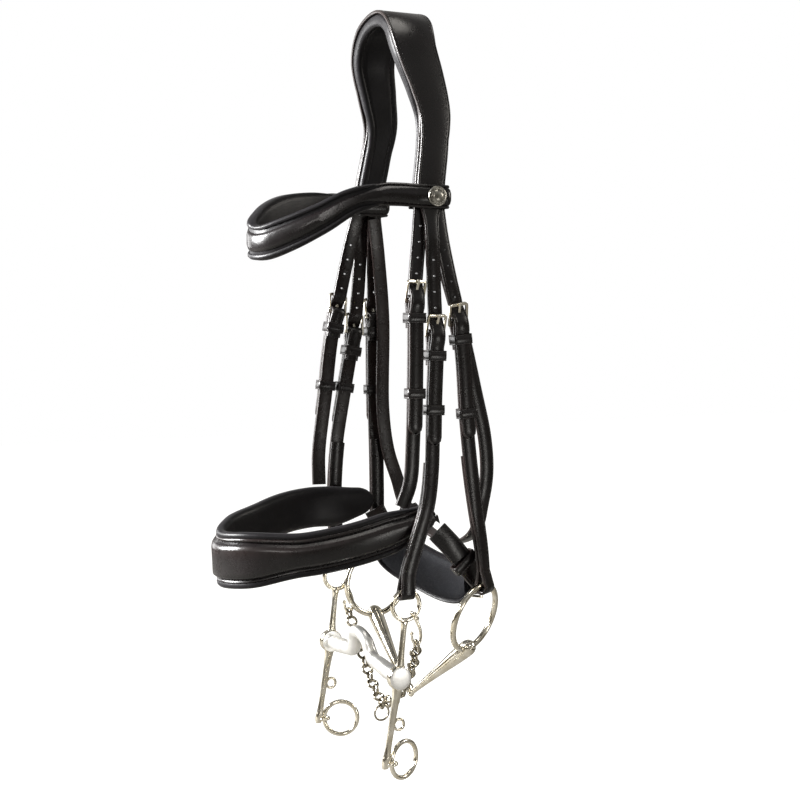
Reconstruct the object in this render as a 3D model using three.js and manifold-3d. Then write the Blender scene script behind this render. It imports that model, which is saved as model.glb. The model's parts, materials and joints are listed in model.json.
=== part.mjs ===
// A double bridle as it hangs on a horse's head: padded headstall, browband, crank noseband,
// throatlash, curb bit with curb chain, and loose-ring bradoon.
// Millimetres, +Z up, the nose towards -Y, the horse's left side towards +X.
// The origin is under the middle of the headpiece, where it rests on the poll.
import * as THREE from "three";
import { mergeVertices } from "three/addons/utils/BufferGeometryUtils.js";
import Module from "manifold-3d";

const wasm = await Module();
wasm.setup();

// ---- Driving dimensions ----
const headHalf = 62; // middle of the head to the cheek straps
const crownHalf = 30; // middle of the head to the headpiece at the ears
const browDrop = 140; // poll to the browband's ends
const cheekDrop = 320; // browband's ends to the curb's top rings
const leather = 2.8; // thickness of a strap
const strapWidth = 12;
const gap = 0.3; // clearance between pieces that lie on each other
const crownGap = 0.8; // the same over the poll, where layers bend round each other
const padThick = 5.5;
const headWide = 40; // headpiece at the poll
const headNarrow = 24; // headpiece at the browband
const noseHigh = 34; // noseband over the cheeks
const noseFrontHigh = 44; // noseband over the nose
const noseThick = 6;
const browHigh = 18; // browband at its ends
const browFrontHigh = 27; // browband over the forehead
const browThick = 5;
const chinHigh = 40; // chin pad
const crankWidth = 18; // strap that closes the noseband
const rosetteRadius = 8;
const buckleLength = 17.2; // pivot bar to the far side of the frame
const buckleWall = 1.8;
const buckleSlack = 0.7; // between a strap's edge and the frame
const buckleDepth = 2.2;
const barHalf = 1.2; // half the pivot bar's width
const tongueWide = 2.2;
const tongueThick = 1.7;
const keeperLength = 8;
const keeperWall = 1.5;
const eyeRadius = 11.8; // curb's top ring, to the middle of its wire
const eyeWire = 1.75; // radius of that wire
const purchase = 57; // top ring's centre to the mouthpiece
const lever = 68; // mouthpiece to the foot of the shank
const bossRadius = 9;
const reinRingRadius = 14.5;
const reinRingWire = 1.9;
const bradoonRadius = 28; // bradoon ring, to the middle of its wire
const bradoonWire = 2.4;
const chainWire = 1.2;

// ---- Sizes that follow ----
const layer = leather + gap; // step from one strap to the next in a stack
const mid = layer / 2; // middle of a folded strap
const foldRadius = Math.hypot(barHalf, buckleDepth / 2) + gap + leather / 2;
const keeperGap = 0.4; // slack of a keeper round its straps
const underStrap = padThick + crownGap + leather / 2; // pad's inner face to a strap's middle
const headStack = underStrap + leather + crownGap; // the same to the headpiece's middle
const browHalf = headHalf - 13; // inner face of the headpiece at the browband
const level = (part) => -browDrop - part * cheekDrop; // 0 at the browband, 1 at the curb's rings
const shankX = headHalf + 6;

const black = new THREE.MeshStandardMaterial({ color: 0x1f1a1c, roughness: 0.45 });
const lining = new THREE.MeshStandardMaterial({ color: 0x2a2730, roughness: 0.6 });
const steel = new THREE.MeshStandardMaterial({ color: 0xc9c3b4, roughness: 0.2, metalness: 1 });
const satin = new THREE.MeshStandardMaterial({ color: 0xe6e6e4, roughness: 0.35, metalness: 1 });

const vec = (x, y, z) => new THREE.Vector3(x, y, z);
const X = vec(1, 0, 0);
const Y = vec(0, 1, 0);
const Z = vec(0, 0, 1);
const bridle = new THREE.Group();

function add(name, geometry, material) {
  const mesh = new THREE.Mesh(geometry, material);
  mesh.name = name;
  bridle.add(mesh);
  return mesh;
}

// ---- Joining and cutting ----
function toSolid(geometry) {
  const bare = geometry.index ? geometry.toNonIndexed() : geometry.clone();
  bare.deleteAttribute("normal");
  bare.deleteAttribute("uv");
  const merged = mergeVertices(bare, 1e-4);
  return new wasm.Manifold(
    new wasm.Mesh({
      numProp: 3,
      vertProperties: merged.attributes.position.array,
      triVerts: new Uint32Array(merged.index.array),
    }),
  );
}

function toGeometry(solid) {
  const { vertProperties, triVerts } = solid.getMesh();
  return new THREE.BufferGeometry()
    .setAttribute("position", new THREE.BufferAttribute(vertProperties, 3))
    .setIndex(new THREE.BufferAttribute(triVerts, 1));
}

const join = (...shapes) => toGeometry(shapes.map(toSolid).reduce((a, b) => a.add(b)));
const cut = (shape, ...tools) =>
  toGeometry(tools.map(toSolid).reduce((a, b) => a.subtract(b), toSolid(shape)));

// ---- Lines that straps lie along ----
// across is the rough direction of the strap's width, at the start and at the end of the line.
// A frame's width, outward side and run are a right-handed set.
function guide(points, across, acrossEnd = across) {
  const curve = new THREE.CatmullRomCurve3(points, false, "centripetal");
  const length = curve.getLength();
  function frameAt(distance) {
    const part = THREE.MathUtils.clamp(distance / length, 0, 1);
    const run = curve.getTangentAt(part);
    const turn = THREE.MathUtils.smoothstep(part, 0.7, 1);
    const side = across.clone().lerp(acrossEnd, turn);
    const out = run.clone().cross(side).normalize();
    const wide = out.clone().cross(run);
    const at = curve.getPointAt(part).addScaledVector(run, distance - part * length);
    return { at, run, out, wide };
  }
  // The distance along the line at which it passes a height, on a line that runs down.
  function reach(height) {
    let low = 0;
    let high = length;
    while (high - low > 0.01) {
      const middle = (low + high) / 2;
      if (frameAt(middle).at.z > height) low = middle;
      else high = middle;
    }
    return low;
  }
  const point = (distance, rise) => {
    const { at, out } = frameAt(distance);
    return at.clone().addScaledVector(out, rise);
  };
  return { length, frameAt, reach, point };
}

// A place's own axes: x along run, y across, z outward.
function setOn(geometry, place, rise = 0, tilt = 0) {
  const matrix = new THREE.Matrix4().makeBasis(place.run, place.wide, place.out);
  matrix.setPosition(place.at.clone().addScaledVector(place.out, rise));
  return geometry.rotateY(tilt).applyMatrix4(matrix);
}

// Carries a cross-section (x across, y outward) through stations { at, wide, out }.
function sweep(section, stations) {
  const steps = stations.length - 1;
  const settings = { depth: steps, steps, bevelEnabled: false, curveSegments: 4 };
  const geometry = new THREE.ExtrudeGeometry(section, settings);
  const position = geometry.attributes.position;
  for (let i = 0; i < position.count; i++) {
    const station = stations[Math.round(position.getZ(i))];
    const { at, wide, out, widen = 1, thicken = 1 } = station;
    const place = at
      .clone()
      .addScaledVector(wide, position.getX(i) * widen)
      .addScaledVector(out, position.getY(i) * thicken);
    position.setXYZ(i, place.x, place.y, place.z);
  }
  return geometry;
}

// Stations through a row of points, facing away from the strap's width direction.
function stationsThrough(points, across) {
  return points.map((at, i) => {
    const run = points[Math.min(i + 1, points.length - 1)]
      .clone()
      .sub(points[Math.max(i - 1, 0)])
      .normalize();
    const side = Array.isArray(across) ? across[i] : across;
    const out = run.clone().cross(side).normalize();
    return { at, out, wide: out.clone().cross(run) };
  });
}

function slab(width, thickness) {
  return new THREE.Shape([
    new THREE.Vector2(-width / 2, -thickness / 2),
    new THREE.Vector2(width / 2, -thickness / 2),
    new THREE.Vector2(width / 2, thickness / 2),
    new THREE.Vector2(-width / 2, thickness / 2),
  ]);
}

function disc(radius, sides = 10) {
  const corners = [];
  for (let i = 0; i < sides; i++) {
    const angle = (i / sides) * 2 * Math.PI;
    corners.push(new THREE.Vector2(radius * Math.cos(angle), radius * Math.sin(angle)));
  }
  return new THREE.Shape(corners);
}

// A padded band's outline: flat on the inside, with a roll along each edge and a raised middle.
function paddedSection(width, thickness) {
  const edge = width / 2;
  const roll = thickness * 0.35;
  return new THREE.Shape([
    new THREE.Vector2(-edge, -thickness / 2),
    new THREE.Vector2(edge, -thickness / 2),
    new THREE.Vector2(edge, thickness / 2 - roll),
    new THREE.Vector2(edge * 0.72, thickness / 2),
    new THREE.Vector2(-edge * 0.72, thickness / 2),
    new THREE.Vector2(-edge, thickness / 2 - roll),
  ]);
}

function ringAt(radius, wire, centre, normal, segments = 32, sides = 8) {
  const turn = new THREE.Quaternion().setFromUnitVectors(Z, normal.clone().normalize());
  return new THREE.TorusGeometry(radius, wire, sides, segments)
    .applyQuaternion(turn)
    .translate(centre.x, centre.y, centre.z);
}

// A round rod through points, whose radius may change from point to point.
function rod(points, radii, normal, sides = 8) {
  const stations = stationsThrough(points, normal);
  stations.forEach((station, i) => {
    station.widen = Array.isArray(radii) ? radii[i] : radii;
    station.thicken = station.widen;
  });
  return sweep(disc(1, sides), stations);
}

// ---- Noseband line, from the left end over the nose to the right end ----
// [share of the head's half width, forward or back, up or down from the nose level]
const noseLevel = level(0.87);
const nosePoints = [
  [0.9, 3, 26], [0.92, -12, 22], [0.92, -31, 16], [0.89, -62, 8], [0.79, -95, 2], [0.63, -122, -1],
  [0.38, -146, -4], [0, -157, -5], [-0.35, -143, 2], [-0.61, -118, 11], [-0.79, -88, 19],
  [-0.89, -60, 22], [-0.9, -35, 22], [-0.88, -12, 25], [-0.86, -2, 27],
];
const noseLine = guide(
  nosePoints.map(([share, y, rise]) => vec(share * headHalf, y, noseLevel + rise)),
  Z.clone().negate(),
);
// Where a noseband cheek strap meets the band's upper edge, as a part of the cheek's drop.
const noseTop = (side) => {
  const rise = side > 0 ? 18.5 : 23;
  return (-browDrop - (noseLevel + rise + noseHigh / 2 + 2 * gap)) / cheekDrop;
};

// ---- Where the bits hang ----
const eyeY = -28;
const eye = (side) => vec(side * shankX, eyeY, level(1));
const bradoonRing = {
  left: { centre: vec(headHalf, 37, level(1.053)), normal: vec(0.86, 0.43, -0.27).normalize() },
  right: { centre: vec(-headHalf, 6, level(1.025)), normal: vec(1, 0.06, 0.02).normalize() },
};
const sideName = (side) => (side > 0 ? "left" : "right");

// The point of a bradoon ring's wire at an angle from its top, and the wire's direction there.
function onRing(side, angle) {
  const { centre, normal } = bradoonRing[sideName(side)];
  const top = Z.clone().addScaledVector(normal, -normal.z).normalize();
  const along = top.clone().cross(normal);
  const spoke = top.multiplyScalar(Math.cos(angle)).addScaledVector(along, Math.sin(angle));
  return {
    at: centre.clone().addScaledVector(spoke, bradoonRadius),
    wire: spoke.clone().cross(normal),
  };
}

// ---- Cheek straps ----
// Each strap's line lies under its stack: [part of the cheek's drop, forward or back, in or out].
const lines = {
  noseband_left: [
    [0, -8.6, -8.6], [0.1, -13.2, -4.2], [0.23, -18.6, -0.2], [0.4, -19.2, 0], [0.6, -20.5, 0],
    [0.7, -22.5, -1], [noseTop(1), -28, -4],
  ],
  curb_left: [
    [0, -4, -4.6], [0.1, -4.2, 1], [0.23, -2, 0], [0.32, -0.8, 0], [0.5, -2.6, 0],
    [0.68, -5, 2], [0.76, -9.5, 4], [0.84, -18, 4.4], [0.92, -26, 4.4], [0.955, -28, 4.4],
  ],
  bradoon_left: [
    [0, 4, -8.6], [0.1, 6.4, -3.4], [0.2, 12, 0], [0.28, 18.5, 0], [0.4, 23.5, 0],
    [0.53, 26.5, 0], [0.66, 31, 0], [0.78, 36, 1], [0.88, 40, 3],
  ],
  noseband_right: [
    [0, -9.6, -8.6], [0.1, -17, -3.4], [0.24, -26, 0], [0.36, -34, 0], [0.5, -39.5, 0],
    [0.66, -46.5, -1], [noseTop(-1), -47.5, -4],
  ],
  curb_right: [
    [0, -4, -4.6], [0.1, -5.4, 1], [0.24, -9.2, 0], [0.36, -14, 0], [0.5, -22, 0],
    [0.64, -29, 1], [0.78, -31, 3], [0.9, -29, 4.4], [0.95, -28.2, 4.4],
  ],
  bradoon_right: [
    [0, 3.4, -8.6], [0.1, 4.6, -3.4], [0.24, 6, 0], [0.5, 6.5, 0], [0.7, 8, 0], [0.86, 8.5, 0.5],
  ],
};

function strapLine(kind, side) {
  const points = lines[kind + "_" + sideName(side)].map(([part, y, spread]) =>
    vec(side * (headHalf + spread), y, level(part)),
  );
  const across = Y.clone().multiplyScalar(side);
  if (kind === "noseband") return guide(points, across);
  const ring = onRing(side, side > 0 ? 0.1 : 0);
  const end = kind === "curb" ? eye(side).add(vec(0, 0, eyeRadius)) : ring.at;
  const acrossEnd = kind === "curb" ? across : ring.wire.clone();
  if (acrossEnd.dot(across) < 0) acrossEnd.negate();
  const out = Z.clone().negate().cross(acrossEnd).normalize();
  points.push(end.clone().addScaledVector(out, -mid));
  return guide(points, across, acrossEnd);
}

// Keepers and the end of the billet, as distances below the buckle's pivot bar.
const straps = [
  { kind: "noseband", side: 1, buckle: 0.255, keepers: [13, 72], billet: 104 },
  { kind: "curb", side: 1, buckle: 0.338, keepers: [16, 59], billet: 87 },
  { kind: "bradoon", side: 1, buckle: 0.31, keepers: [12.5, 71.5], billet: 92 },
  { kind: "noseband", side: -1, buckle: 0.285, keepers: [13, 63], billet: 92 },
  { kind: "curb", side: -1, buckle: 0.338, keepers: [16, 48], billet: 82 },
  { kind: "bradoon", side: -1, buckle: 0.297, keepers: [12.5, 63], billet: 92 },
];
for (const strap of straps) {
  strap.line = strapLine(strap.kind, strap.side);
  strap.at = strap.line.reach(level(strap.buckle)); // distance to the buckle's pivot bar
}

// Points of a bent strap, from pairs of distance along a line and rise above it.
function bent(line, pairs) {
  const points = pairs.map(([distance, rise]) => line.point(distance, rise));
  const across = pairs.map(([distance]) => line.frameAt(distance).wide);
  return { points, across };
}

function arcPairs(distance, rise, radius, from, to, steps = 5) {
  const pairs = [];
  for (let i = 0; i <= steps; i++) {
    const angle = from + ((to - from) * i) / steps;
    pairs.push([distance - radius * Math.sin(angle), rise - radius * Math.cos(angle)]);
  }
  return pairs;
}

// Evenly spaced distances between two places of a strap, with one rise.
function straight(from, to, rise, step = 18) {
  const count = Math.max(1, Math.round(Math.abs(to - from) / step));
  const pairs = [];
  for (let i = 0; i <= count; i++) pairs.push([from + ((to - from) * i) / count, rise]);
  return pairs;
}

const frameTilt = 0.3;
const tongueRise = buckleDepth / 2 + gap + tongueThick / 2; // over the frame's far side
const tongueTilt = frameTilt + Math.asin(tongueRise / (buckleLength - 2.6 * barHalf));

const tongueLift = 0.1; // how far a tongue may be lifted in its hole

function tongueShape(grow) {
  const length = buckleLength + barHalf;
  const body = new THREE.BoxGeometry(length, tongueWide + 2 * grow, tongueThick + 2 * grow)
    .translate(-length / 2, 0, 0)
    .rotateY(tongueTilt);
  const round = new THREE.CylinderGeometry(1, 1, tongueWide + 2 * grow, 12);
  const root = round.scale(foldRadius - 0.15 + grow, 1, foldRadius - 0.15 + grow);
  return join(body, root);
}

function addCheek({ kind, side, line, at, billet, keepers }) {
  const end = line.length;
  const across = line.frameAt(at);
  const tailTop = at + keepers[0] + keeperLength;
  const pairs = [
    ...straight(tailTop, at + 8, 0),
    ...arcPairs(at, mid, foldRadius, 0, Math.PI),
    ...straight(at + 8, end - 12, layer),
  ];
  if (kind === "noseband") {
    pairs.push([end, layer]);
  } else {
    const wire = kind === "curb" ? eyeWire : bradoonWire;
    const ringRadius = kind === "curb" ? eyeRadius : bradoonRadius;
    const sag = (strapWidth / 2) ** 2 / (2 * ringRadius) + 2 * gap; // the ring's curve across the strap
    const radius = wire + 3 * gap + leather / 2;
    pairs.push(...arcPairs(end + sag, mid, radius, Math.PI, 2 * Math.PI));
    pairs.push(...straight(end - 12, at + billet + 14, 0));
  }
  const { points, across: widths } = bent(line, pairs);
  const body = sweep(slab(strapWidth, leather), stationsThrough(points, widths));
  const slotLength = foldRadius + leather;
  const slot = new THREE.BoxGeometry(slotLength, tongueWide + 2 * gap, slotLength);
  slot.translate(-slotLength / 2 + barHalf, 0, slotLength / 2 - barHalf);
  const cutters = [slot, tongueShape(gap)].map((tool) => setOn(tool, across, mid));
  add(kind + "_cheek_" + sideName(side), cut(body, ...cutters), black);
}

function addBuckle({ kind, side, line, at }) {
  const place = line.frameAt(at);
  const inner = strapWidth / 2 + buckleSlack;
  const outer = inner + buckleWall;
  const frame = new THREE.Shape();
  frame.moveTo(barHalf, -outer).lineTo(barHalf, outer).lineTo(3 - buckleLength, outer);
  frame.quadraticCurveTo(-buckleLength, outer, -buckleLength, outer - 3.5);
  frame.lineTo(-buckleLength, 3.5 - outer);
  frame.quadraticCurveTo(-buckleLength, -outer, 3 - buckleLength, -outer);
  const hole = new THREE.Path();
  const far = 2 * barHalf - buckleLength;
  hole.moveTo(-barHalf, -inner).lineTo(far, -inner).lineTo(far, inner).lineTo(-barHalf, inner);
  frame.holes.push(hole);
  const settings = { depth: buckleDepth, bevelEnabled: false, curveSegments: 4 };
  const ring = new THREE.ExtrudeGeometry(frame, settings).translate(0, 0, -buckleDepth / 2);
  add(kind + "_buckle_" + sideName(side), setOn(ring, place, mid, frameTilt), steel);
  const bar = new THREE.BoxGeometry(2 * barHalf, 2 * tongueWide, buckleDepth).rotateY(frameTilt);
  const space = bar.scale(1.25, 1, 1.3);
  const tongue = cut(tongueShape(0), space);
  add(kind + "_tongue_" + sideName(side), setOn(tongue, place, mid), steel);
}

// A leather loop round a stack of straps between two rises.
function keeperLoop(width, low, high, length) {
  const halfWide = width / 2 + keeperGap;
  const bottom = low - keeperGap;
  const top = high + keeperGap;
  const wall = keeperWall;
  const shape = new THREE.Shape();
  shape.moveTo(bottom - wall, -halfWide - wall).lineTo(top + wall, -halfWide - wall);
  shape.lineTo(top + wall, halfWide + wall).lineTo(bottom - wall, halfWide + wall);
  const hole = new THREE.Path();
  hole.moveTo(bottom, -halfWide).lineTo(bottom, halfWide).lineTo(top, halfWide).lineTo(top, -halfWide);
  shape.holes.push(hole);
  return new THREE.ExtrudeGeometry(shape, { depth: length, bevelEnabled: false })
    .translate(0, 0, -length / 2)
    .rotateY(Math.PI / 2)
    .scale(1, 1, -1)
    .scale(1, -1, 1);
}

function addKeepers({ kind, side, line, at, keepers }) {
  keepers.forEach((drop, i) => {
    const back = i ? layer - leather / 2 : -leather / 2;
    const loop = keeperLoop(strapWidth, back, 2 * layer + leather / 2, keeperLength);
    const name = kind + (i ? "_runner_" : "_keeper_") + sideName(side);
    add(name, setOn(loop, line.frameAt(at + drop)), black);
  });
}

for (const strap of straps) {
  addCheek(strap);
  addBuckle(strap);
  addKeepers(strap);
}

// ---- Over the poll ----
// The inner face of the headpiece from one browband end up over the poll and down to the other.
const crownPart = (part) => crownHalf + part * (browHalf - crownHalf);
const crownHalfPoints = [
  vec(crownPart(1) + 0.6, -3.4, -browDrop - 8),
  vec(crownPart(0.98), -2, -0.92 * browDrop),
  vec(crownPart(0.84), 2, -0.74 * browDrop),
  vec(crownPart(0.58), 5, -0.54 * browDrop),
  vec(crownPart(0.37), 0, -0.36 * browDrop),
  vec(crownHalf, -7, -0.16 * browDrop),
  vec(0.66 * crownHalf, -6, -0.05 * browDrop),
];
const crown = guide(
  [
    ...crownHalfPoints,
    vec(0, -4, 0),
    ...crownHalfPoints.toReversed().map((p) => vec(-p.x, p.y, p.z)),
  ],
  Y.clone().negate(),
);

const crownSteps = 29;
// Points of the crown at a rise, moved across it, between two shares of its length.
function overCrown(rise, shift, from = 0, to = 1) {
  const points = [];
  for (let i = 0; i <= crownSteps; i++) {
    const part = i / crownSteps;
    if (part < from || part > to) continue;
    const { at, out, wide } = crown.frameAt(part * crown.length);
    points.push(at.addScaledVector(out, rise).addScaledVector(wide, -shift));
  }
  return points;
}

// A billet's points from its tip up to the browband.
function billetPairs({ line, at, billet }) {
  const under = mid + 1.3;
  return [
    ...straight(at + billet, at + 9, 2 * layer),
    [at + 5, mid + foldRadius + leather + gap * 0.6],
    [at + 1, mid + foldRadius + leather + 2 * gap],
    [at - 4, mid + foldRadius + leather],
    [at - 13.5, under],
    ...straight(at - buckleLength - 2, 14, under, 12),
  ];
}

const widthNow = (z) => {
  const part = THREE.MathUtils.clamp(-z / browDrop, 0, 1);
  return THREE.MathUtils.lerp(headWide, headNarrow, Math.min(1, 1.5 * part));
};

function headstrap(kind, rise, shift) {
  const [left, right] = [1, -1].map((side) => straps.find((s) => s.kind === kind && s.side === side));
  const from = bent(left.line, billetPairs(left)).points;
  const to = bent(right.line, billetPairs(right)).points.toReversed();
  const points = [...from, ...overCrown(rise, shift, 0.03, 0.97), ...to];
  return { points, from, to, left, right };
}

function punchHoles(body, { line, at, billet }, count, pitch) {
  const tools = [];
  for (let i = -count; i <= count; i++) {
    if (i === 0) continue;
    const place = line.frameAt(at - 9 + i * pitch);
    tools.push(setOn(new THREE.CylinderGeometry(1.3, 1.3, 30, 6).rotateX(Math.PI / 2), place, mid));
  }
  for (const lift of [0, tongueLift]) tools.push(setOn(tongueShape(0.45), line.frameAt(at), mid, lift));
  return cut(body, ...tools);
}

function addHeadstrap(name, kind, rise, shift, tapered) {
  const { points, left, right } = headstrap(kind, rise, shift);
  const stations = stationsThrough(points, Y.clone().negate());
  if (tapered)
    for (const station of stations) {
      const drop = -station.at.z - browDrop;
      const share = THREE.MathUtils.smoothstep(drop, -6, 22);
      station.widen = THREE.MathUtils.lerp(widthNow(station.at.z) / strapWidth, 1, share);
    }
  let body = sweep(slab(strapWidth, leather), stations);
  for (const strap of [left, right]) body = punchHoles(body, strap, 1, 14);
  add(name, body, black);
}

const abreast = strapWidth / 2 + 2 * gap; // two straps side by side under the headpiece
addHeadstrap("headpiece", "curb", headStack, 0, true);
addHeadstrap("noseband_headstrap", "noseband", underStrap, -abreast, false);
addHeadstrap("bradoon_headstrap", "bradoon", underStrap, abreast, false);

const padStations = stationsThrough(overCrown(padThick / 2, 0, 0.03, 0.97), Y.clone().negate());
for (const station of padStations) {
  station.widen = widthNow(station.at.z) / headWide;
  station.wide = Y.clone().negate(); // keeps the face on the poll flat
}
add("headpiece_pad", sweep(slab(headWide, padThick), padStations), lining);

// ---- Browband ----
// [share of the head's half width, forward or back, up or down from the band's ends]
const browPoints = [
  [0.985, -30, 1], [0.92, -46, 0.5], [0.82, -66, -5], [0.66, -88, -18], [0.45, -109, -29],
  [0.19, -125, -36], [-0.07, -129, -34], [-0.31, -117, -22], [-0.53, -95, -9], [-0.73, -68, -2],
  [-0.87, -42, 0.5], [-0.98, -22, 0.5],
];
const loopThick = 3;
const loopIn = browHalf - 1.2 - loopThick / 2 - gap;
const loopOut = headHalf + 2.6 + loopThick / 2;
const loopRear = 12.4;
const loopFront = -15;
const loopCorner = 4;

// Half turns of the end loop, from the inner tail round the headpiece's rear to the outer side.
function browLoop(side) {
  const points = [vec(loopIn, loopFront, 0), vec(loopIn, -1, 0)];
  for (const [middleX, start] of [[loopIn + loopCorner, Math.PI], [loopOut - loopCorner, Math.PI / 2]])
    for (let i = 0; i <= 3; i++) {
      const angle = start - (i * Math.PI) / 6;
      const x = middleX + loopCorner * Math.cos(angle);
      points.push(vec(x, loopRear - loopCorner + loopCorner * Math.sin(angle), 0));
    }
  points.push(vec(loopOut, -1, 0), vec(loopOut, loopFront, 0));
  return points.map((p) => vec(side * p.x, p.y, -browDrop));
}

function addBrowband() {
  const front = browPoints.map(([share, y, rise]) => vec(share * headHalf, y, -browDrop + rise));
  const ends = [browLoop(1), browLoop(-1).reverse()];
  const joined = [ends[0].at(-1), ...front, ends[1][0]];
  const curve = new THREE.CatmullRomCurve3(joined, false, "centripetal");
  const middle = curve.getSpacedPoints(34).slice(1, -1);
  const points = [...ends[0], ...middle, ...ends[1]];
  const stations = stationsThrough(points, Z.clone().negate());
  const frontY = -125;
  for (const station of stations) {
    const share = THREE.MathUtils.smoothstep(station.at.y, frontY, loopFront - 25);
    station.widen = THREE.MathUtils.lerp(browFrontHigh / browHigh, 1, share);
    const near = THREE.MathUtils.smoothstep(station.at.y, loopFront - 25, loopFront);
    station.thicken = THREE.MathUtils.lerp(1, loopThick / browThick, near);
  }
  add("browband", sweep(paddedSection(browHigh, browThick), stations), black);
  const lined = stations.filter((station) => station.at.y < loopFront - 14);
  const inward = browThick / 2 + crownGap + padThick / 2;
  for (const station of lined) {
    station.at = station.at.clone().addScaledVector(station.out, -inward);
    station.thicken = 1;
  }
  add("browband_pad", sweep(slab(browHigh, padThick), lined), lining);
}
addBrowband();

for (const side of [1, -1]) {
  const round = new THREE.CylinderGeometry(rosetteRadius * 0.72, rosetteRadius, 3.2, 20);
  round.rotateZ(-side * Math.PI / 2);
  const out = loopOut + loopThick / 2 + gap + 1.6;
  add("rosette_" + sideName(side), round.translate(side * out, -1, -browDrop), steel);
}

// ---- Noseband ----
const noseCount = 36;
function noseStations(offset) {
  const stations = [];
  for (let i = 0; i <= noseCount; i++) {
    const { at, out, wide } = noseLine.frameAt((i / noseCount) * noseLine.length);
    const frontShare = THREE.MathUtils.smoothstep(-at.y, 92, 142);
    const endShare = THREE.MathUtils.smoothstep(at.y, -42, 0);
    const high = THREE.MathUtils.lerp(noseHigh, noseFrontHigh, frontShare);
    const widen = THREE.MathUtils.lerp(high, crankWidth + 3, endShare) / noseHigh;
    stations.push({ at: at.addScaledVector(out, offset), out, wide, widen });
  }
  return stations;
}
const noseSplit = crownGap / 2; // half the space between the band and its lining
add("noseband", sweep(paddedSection(noseHigh, noseThick), noseStations(noseSplit + noseThick / 2)), black);
add("noseband_pad", sweep(slab(noseHigh, padThick), noseStations(-noseSplit - padThick / 2)), lining);

// ---- Chin pad and the crank strap that draws the noseband closed ----
const chinPoints = [
  [0.58, 44, -37], [0.32, 42, -38], [0, 35, -35], [-0.32, 27, -29], [-0.61, 16, -21], [-0.78, 5, -11],
];
const chinLine = guide(
  chinPoints.map(([share, y, rise]) => vec(share * headHalf, y, noseLevel + rise)),
  Z,
);
const chinStations = [];
const chinCount = 12;
for (let i = 0; i <= chinCount; i++) {
  const station = chinLine.frameAt((i / chinCount) * chinLine.length);
  station.widen = 1 - 0.45 * Math.abs((2 * i) / chinCount - 1) ** 4;
  chinStations.push(station);
}
add("chin_pad", sweep(slab(chinHigh, padThick), chinStations), lining);

const crankOut = padThick / 2 + 2 * crownGap + leather / 2;
const alongPad = [0.2, 0.4, 0.62, 0.85].map((part) => chinLine.point(part * chinLine.length, crankOut));
const crankLine = guide(
  [
    vec(0.9 * headHalf, 6, noseLevel + 13),
    vec(0.93 * headHalf, 20, noseLevel - 2),
    vec(0.91 * headHalf, 35, noseLevel - 20),
    vec(0.79 * headHalf, 47.5, noseLevel - 33),
    ...alongPad,
    vec(-0.84 * headHalf, 9, noseLevel + 2),
    vec(-0.87 * headHalf, 1.5, noseLevel + 17),
  ],
  Z,
);
const crankCount = 26;
const crankStations = [];
for (let i = 0; i <= crankCount; i++)
  crankStations.push(crankLine.frameAt((i / crankCount) * crankLine.length));
add("crank_strap", sweep(slab(crankWidth, leather), crankStations), black);
const loose = 1; // extra room in a keeper where its strap bends
const crankKeeper = keeperLoop(
  crankWidth + 2 * loose, -leather / 2 - loose, leather / 2 + loose, keeperLength,
);
add("crank_keeper", setOn(crankKeeper, crankLine.frameAt(0.17 * crankLine.length)), black);

function addCrankBuckle() {
  const long = 9;
  const halfWide = crankWidth / 2 + 3;
  const rim = 2;
  const shape = slab(2 * long, 2 * halfWide);
  const inside = new THREE.Path(slab(2 * (long - rim), 2 * (halfWide - rim)).getPoints().reverse());
  shape.holes.push(inside);
  const frame = new THREE.ExtrudeGeometry(shape, { depth: buckleDepth, bevelEnabled: false });
  const place = crankLine.frameAt(0.37 * crankLine.length);
  add("crank_buckle", setOn(frame, place, leather / 2 + 3 * gap), steel);
}
addCrankBuckle();

// ---- Throatlash ----
// [share of the head's half width, forward or back, part of the cheek's drop]
// Each row is a share of headHalf, millimetres added to it, y and a level.
const throatPoints = [
  [1, -11.8, 6, 0.035], [1, -7.4, 12, 0.16], [1, -5.6, 26, 0.31], [1, -5, 39.5, 0.48], [1, -5, 48.5, 0.6],
  [1, -5, 50.5, 0.69], [1, -6.2, 47, 0.77], [0.78, 0, 45, 0.84], [0.4, 0, 41, 0.88], [-0.1, 0, 37, 0.875],
  [-0.6, 0, 32, 0.835], [-0.8, 0, 28, 0.8], [-1, 7.4, 24, 0.74], [-1, 5.6, 16, 0.66], [-1, 5.6, 11, 0.55],
  [-1, 5.6, 11, 0.3], [-1, 7.4, 6, 0.14], [-1, 11.8, 0, 0.035],
];
const throatThick = 2.4;
const throatLine = guide(
  throatPoints.map(([share, more, y, part]) => vec(share * headHalf + more, y, level(part))),
  Y,
);
const throatCount = 48;
const throatStations = [];
for (let i = 0; i <= throatCount; i++)
  throatStations.push(throatLine.frameAt((i / throatCount) * throatLine.length));
add("throatlash", sweep(slab(strapWidth, throatThick), throatStations), black);
const throatKeeper = keeperLoop(
  strapWidth + 2 * loose, -throatThick / 2 - loose, throatThick / 2 + loose, keeperLength,
);
add("throatlash_keeper", setOn(throatKeeper, throatLine.frameAt(0.585 * throatLine.length)), black);

// ---- Curb bit ----
const shankThick = 4.5;
const upperLean = -0.105; // forward lean of the shank above and below the mouthpiece
const lowerLean = -0.17;
const bossY = upperLean * purchase;
const footY = bossY + lowerLean * lever;
const footZ = -purchase - lever;
const footHole = 5; // behind the shank's lower end, where the rein ring goes through
const holeRadius = reinRingWire + 0.6;
const footHigh = 6;

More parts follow.
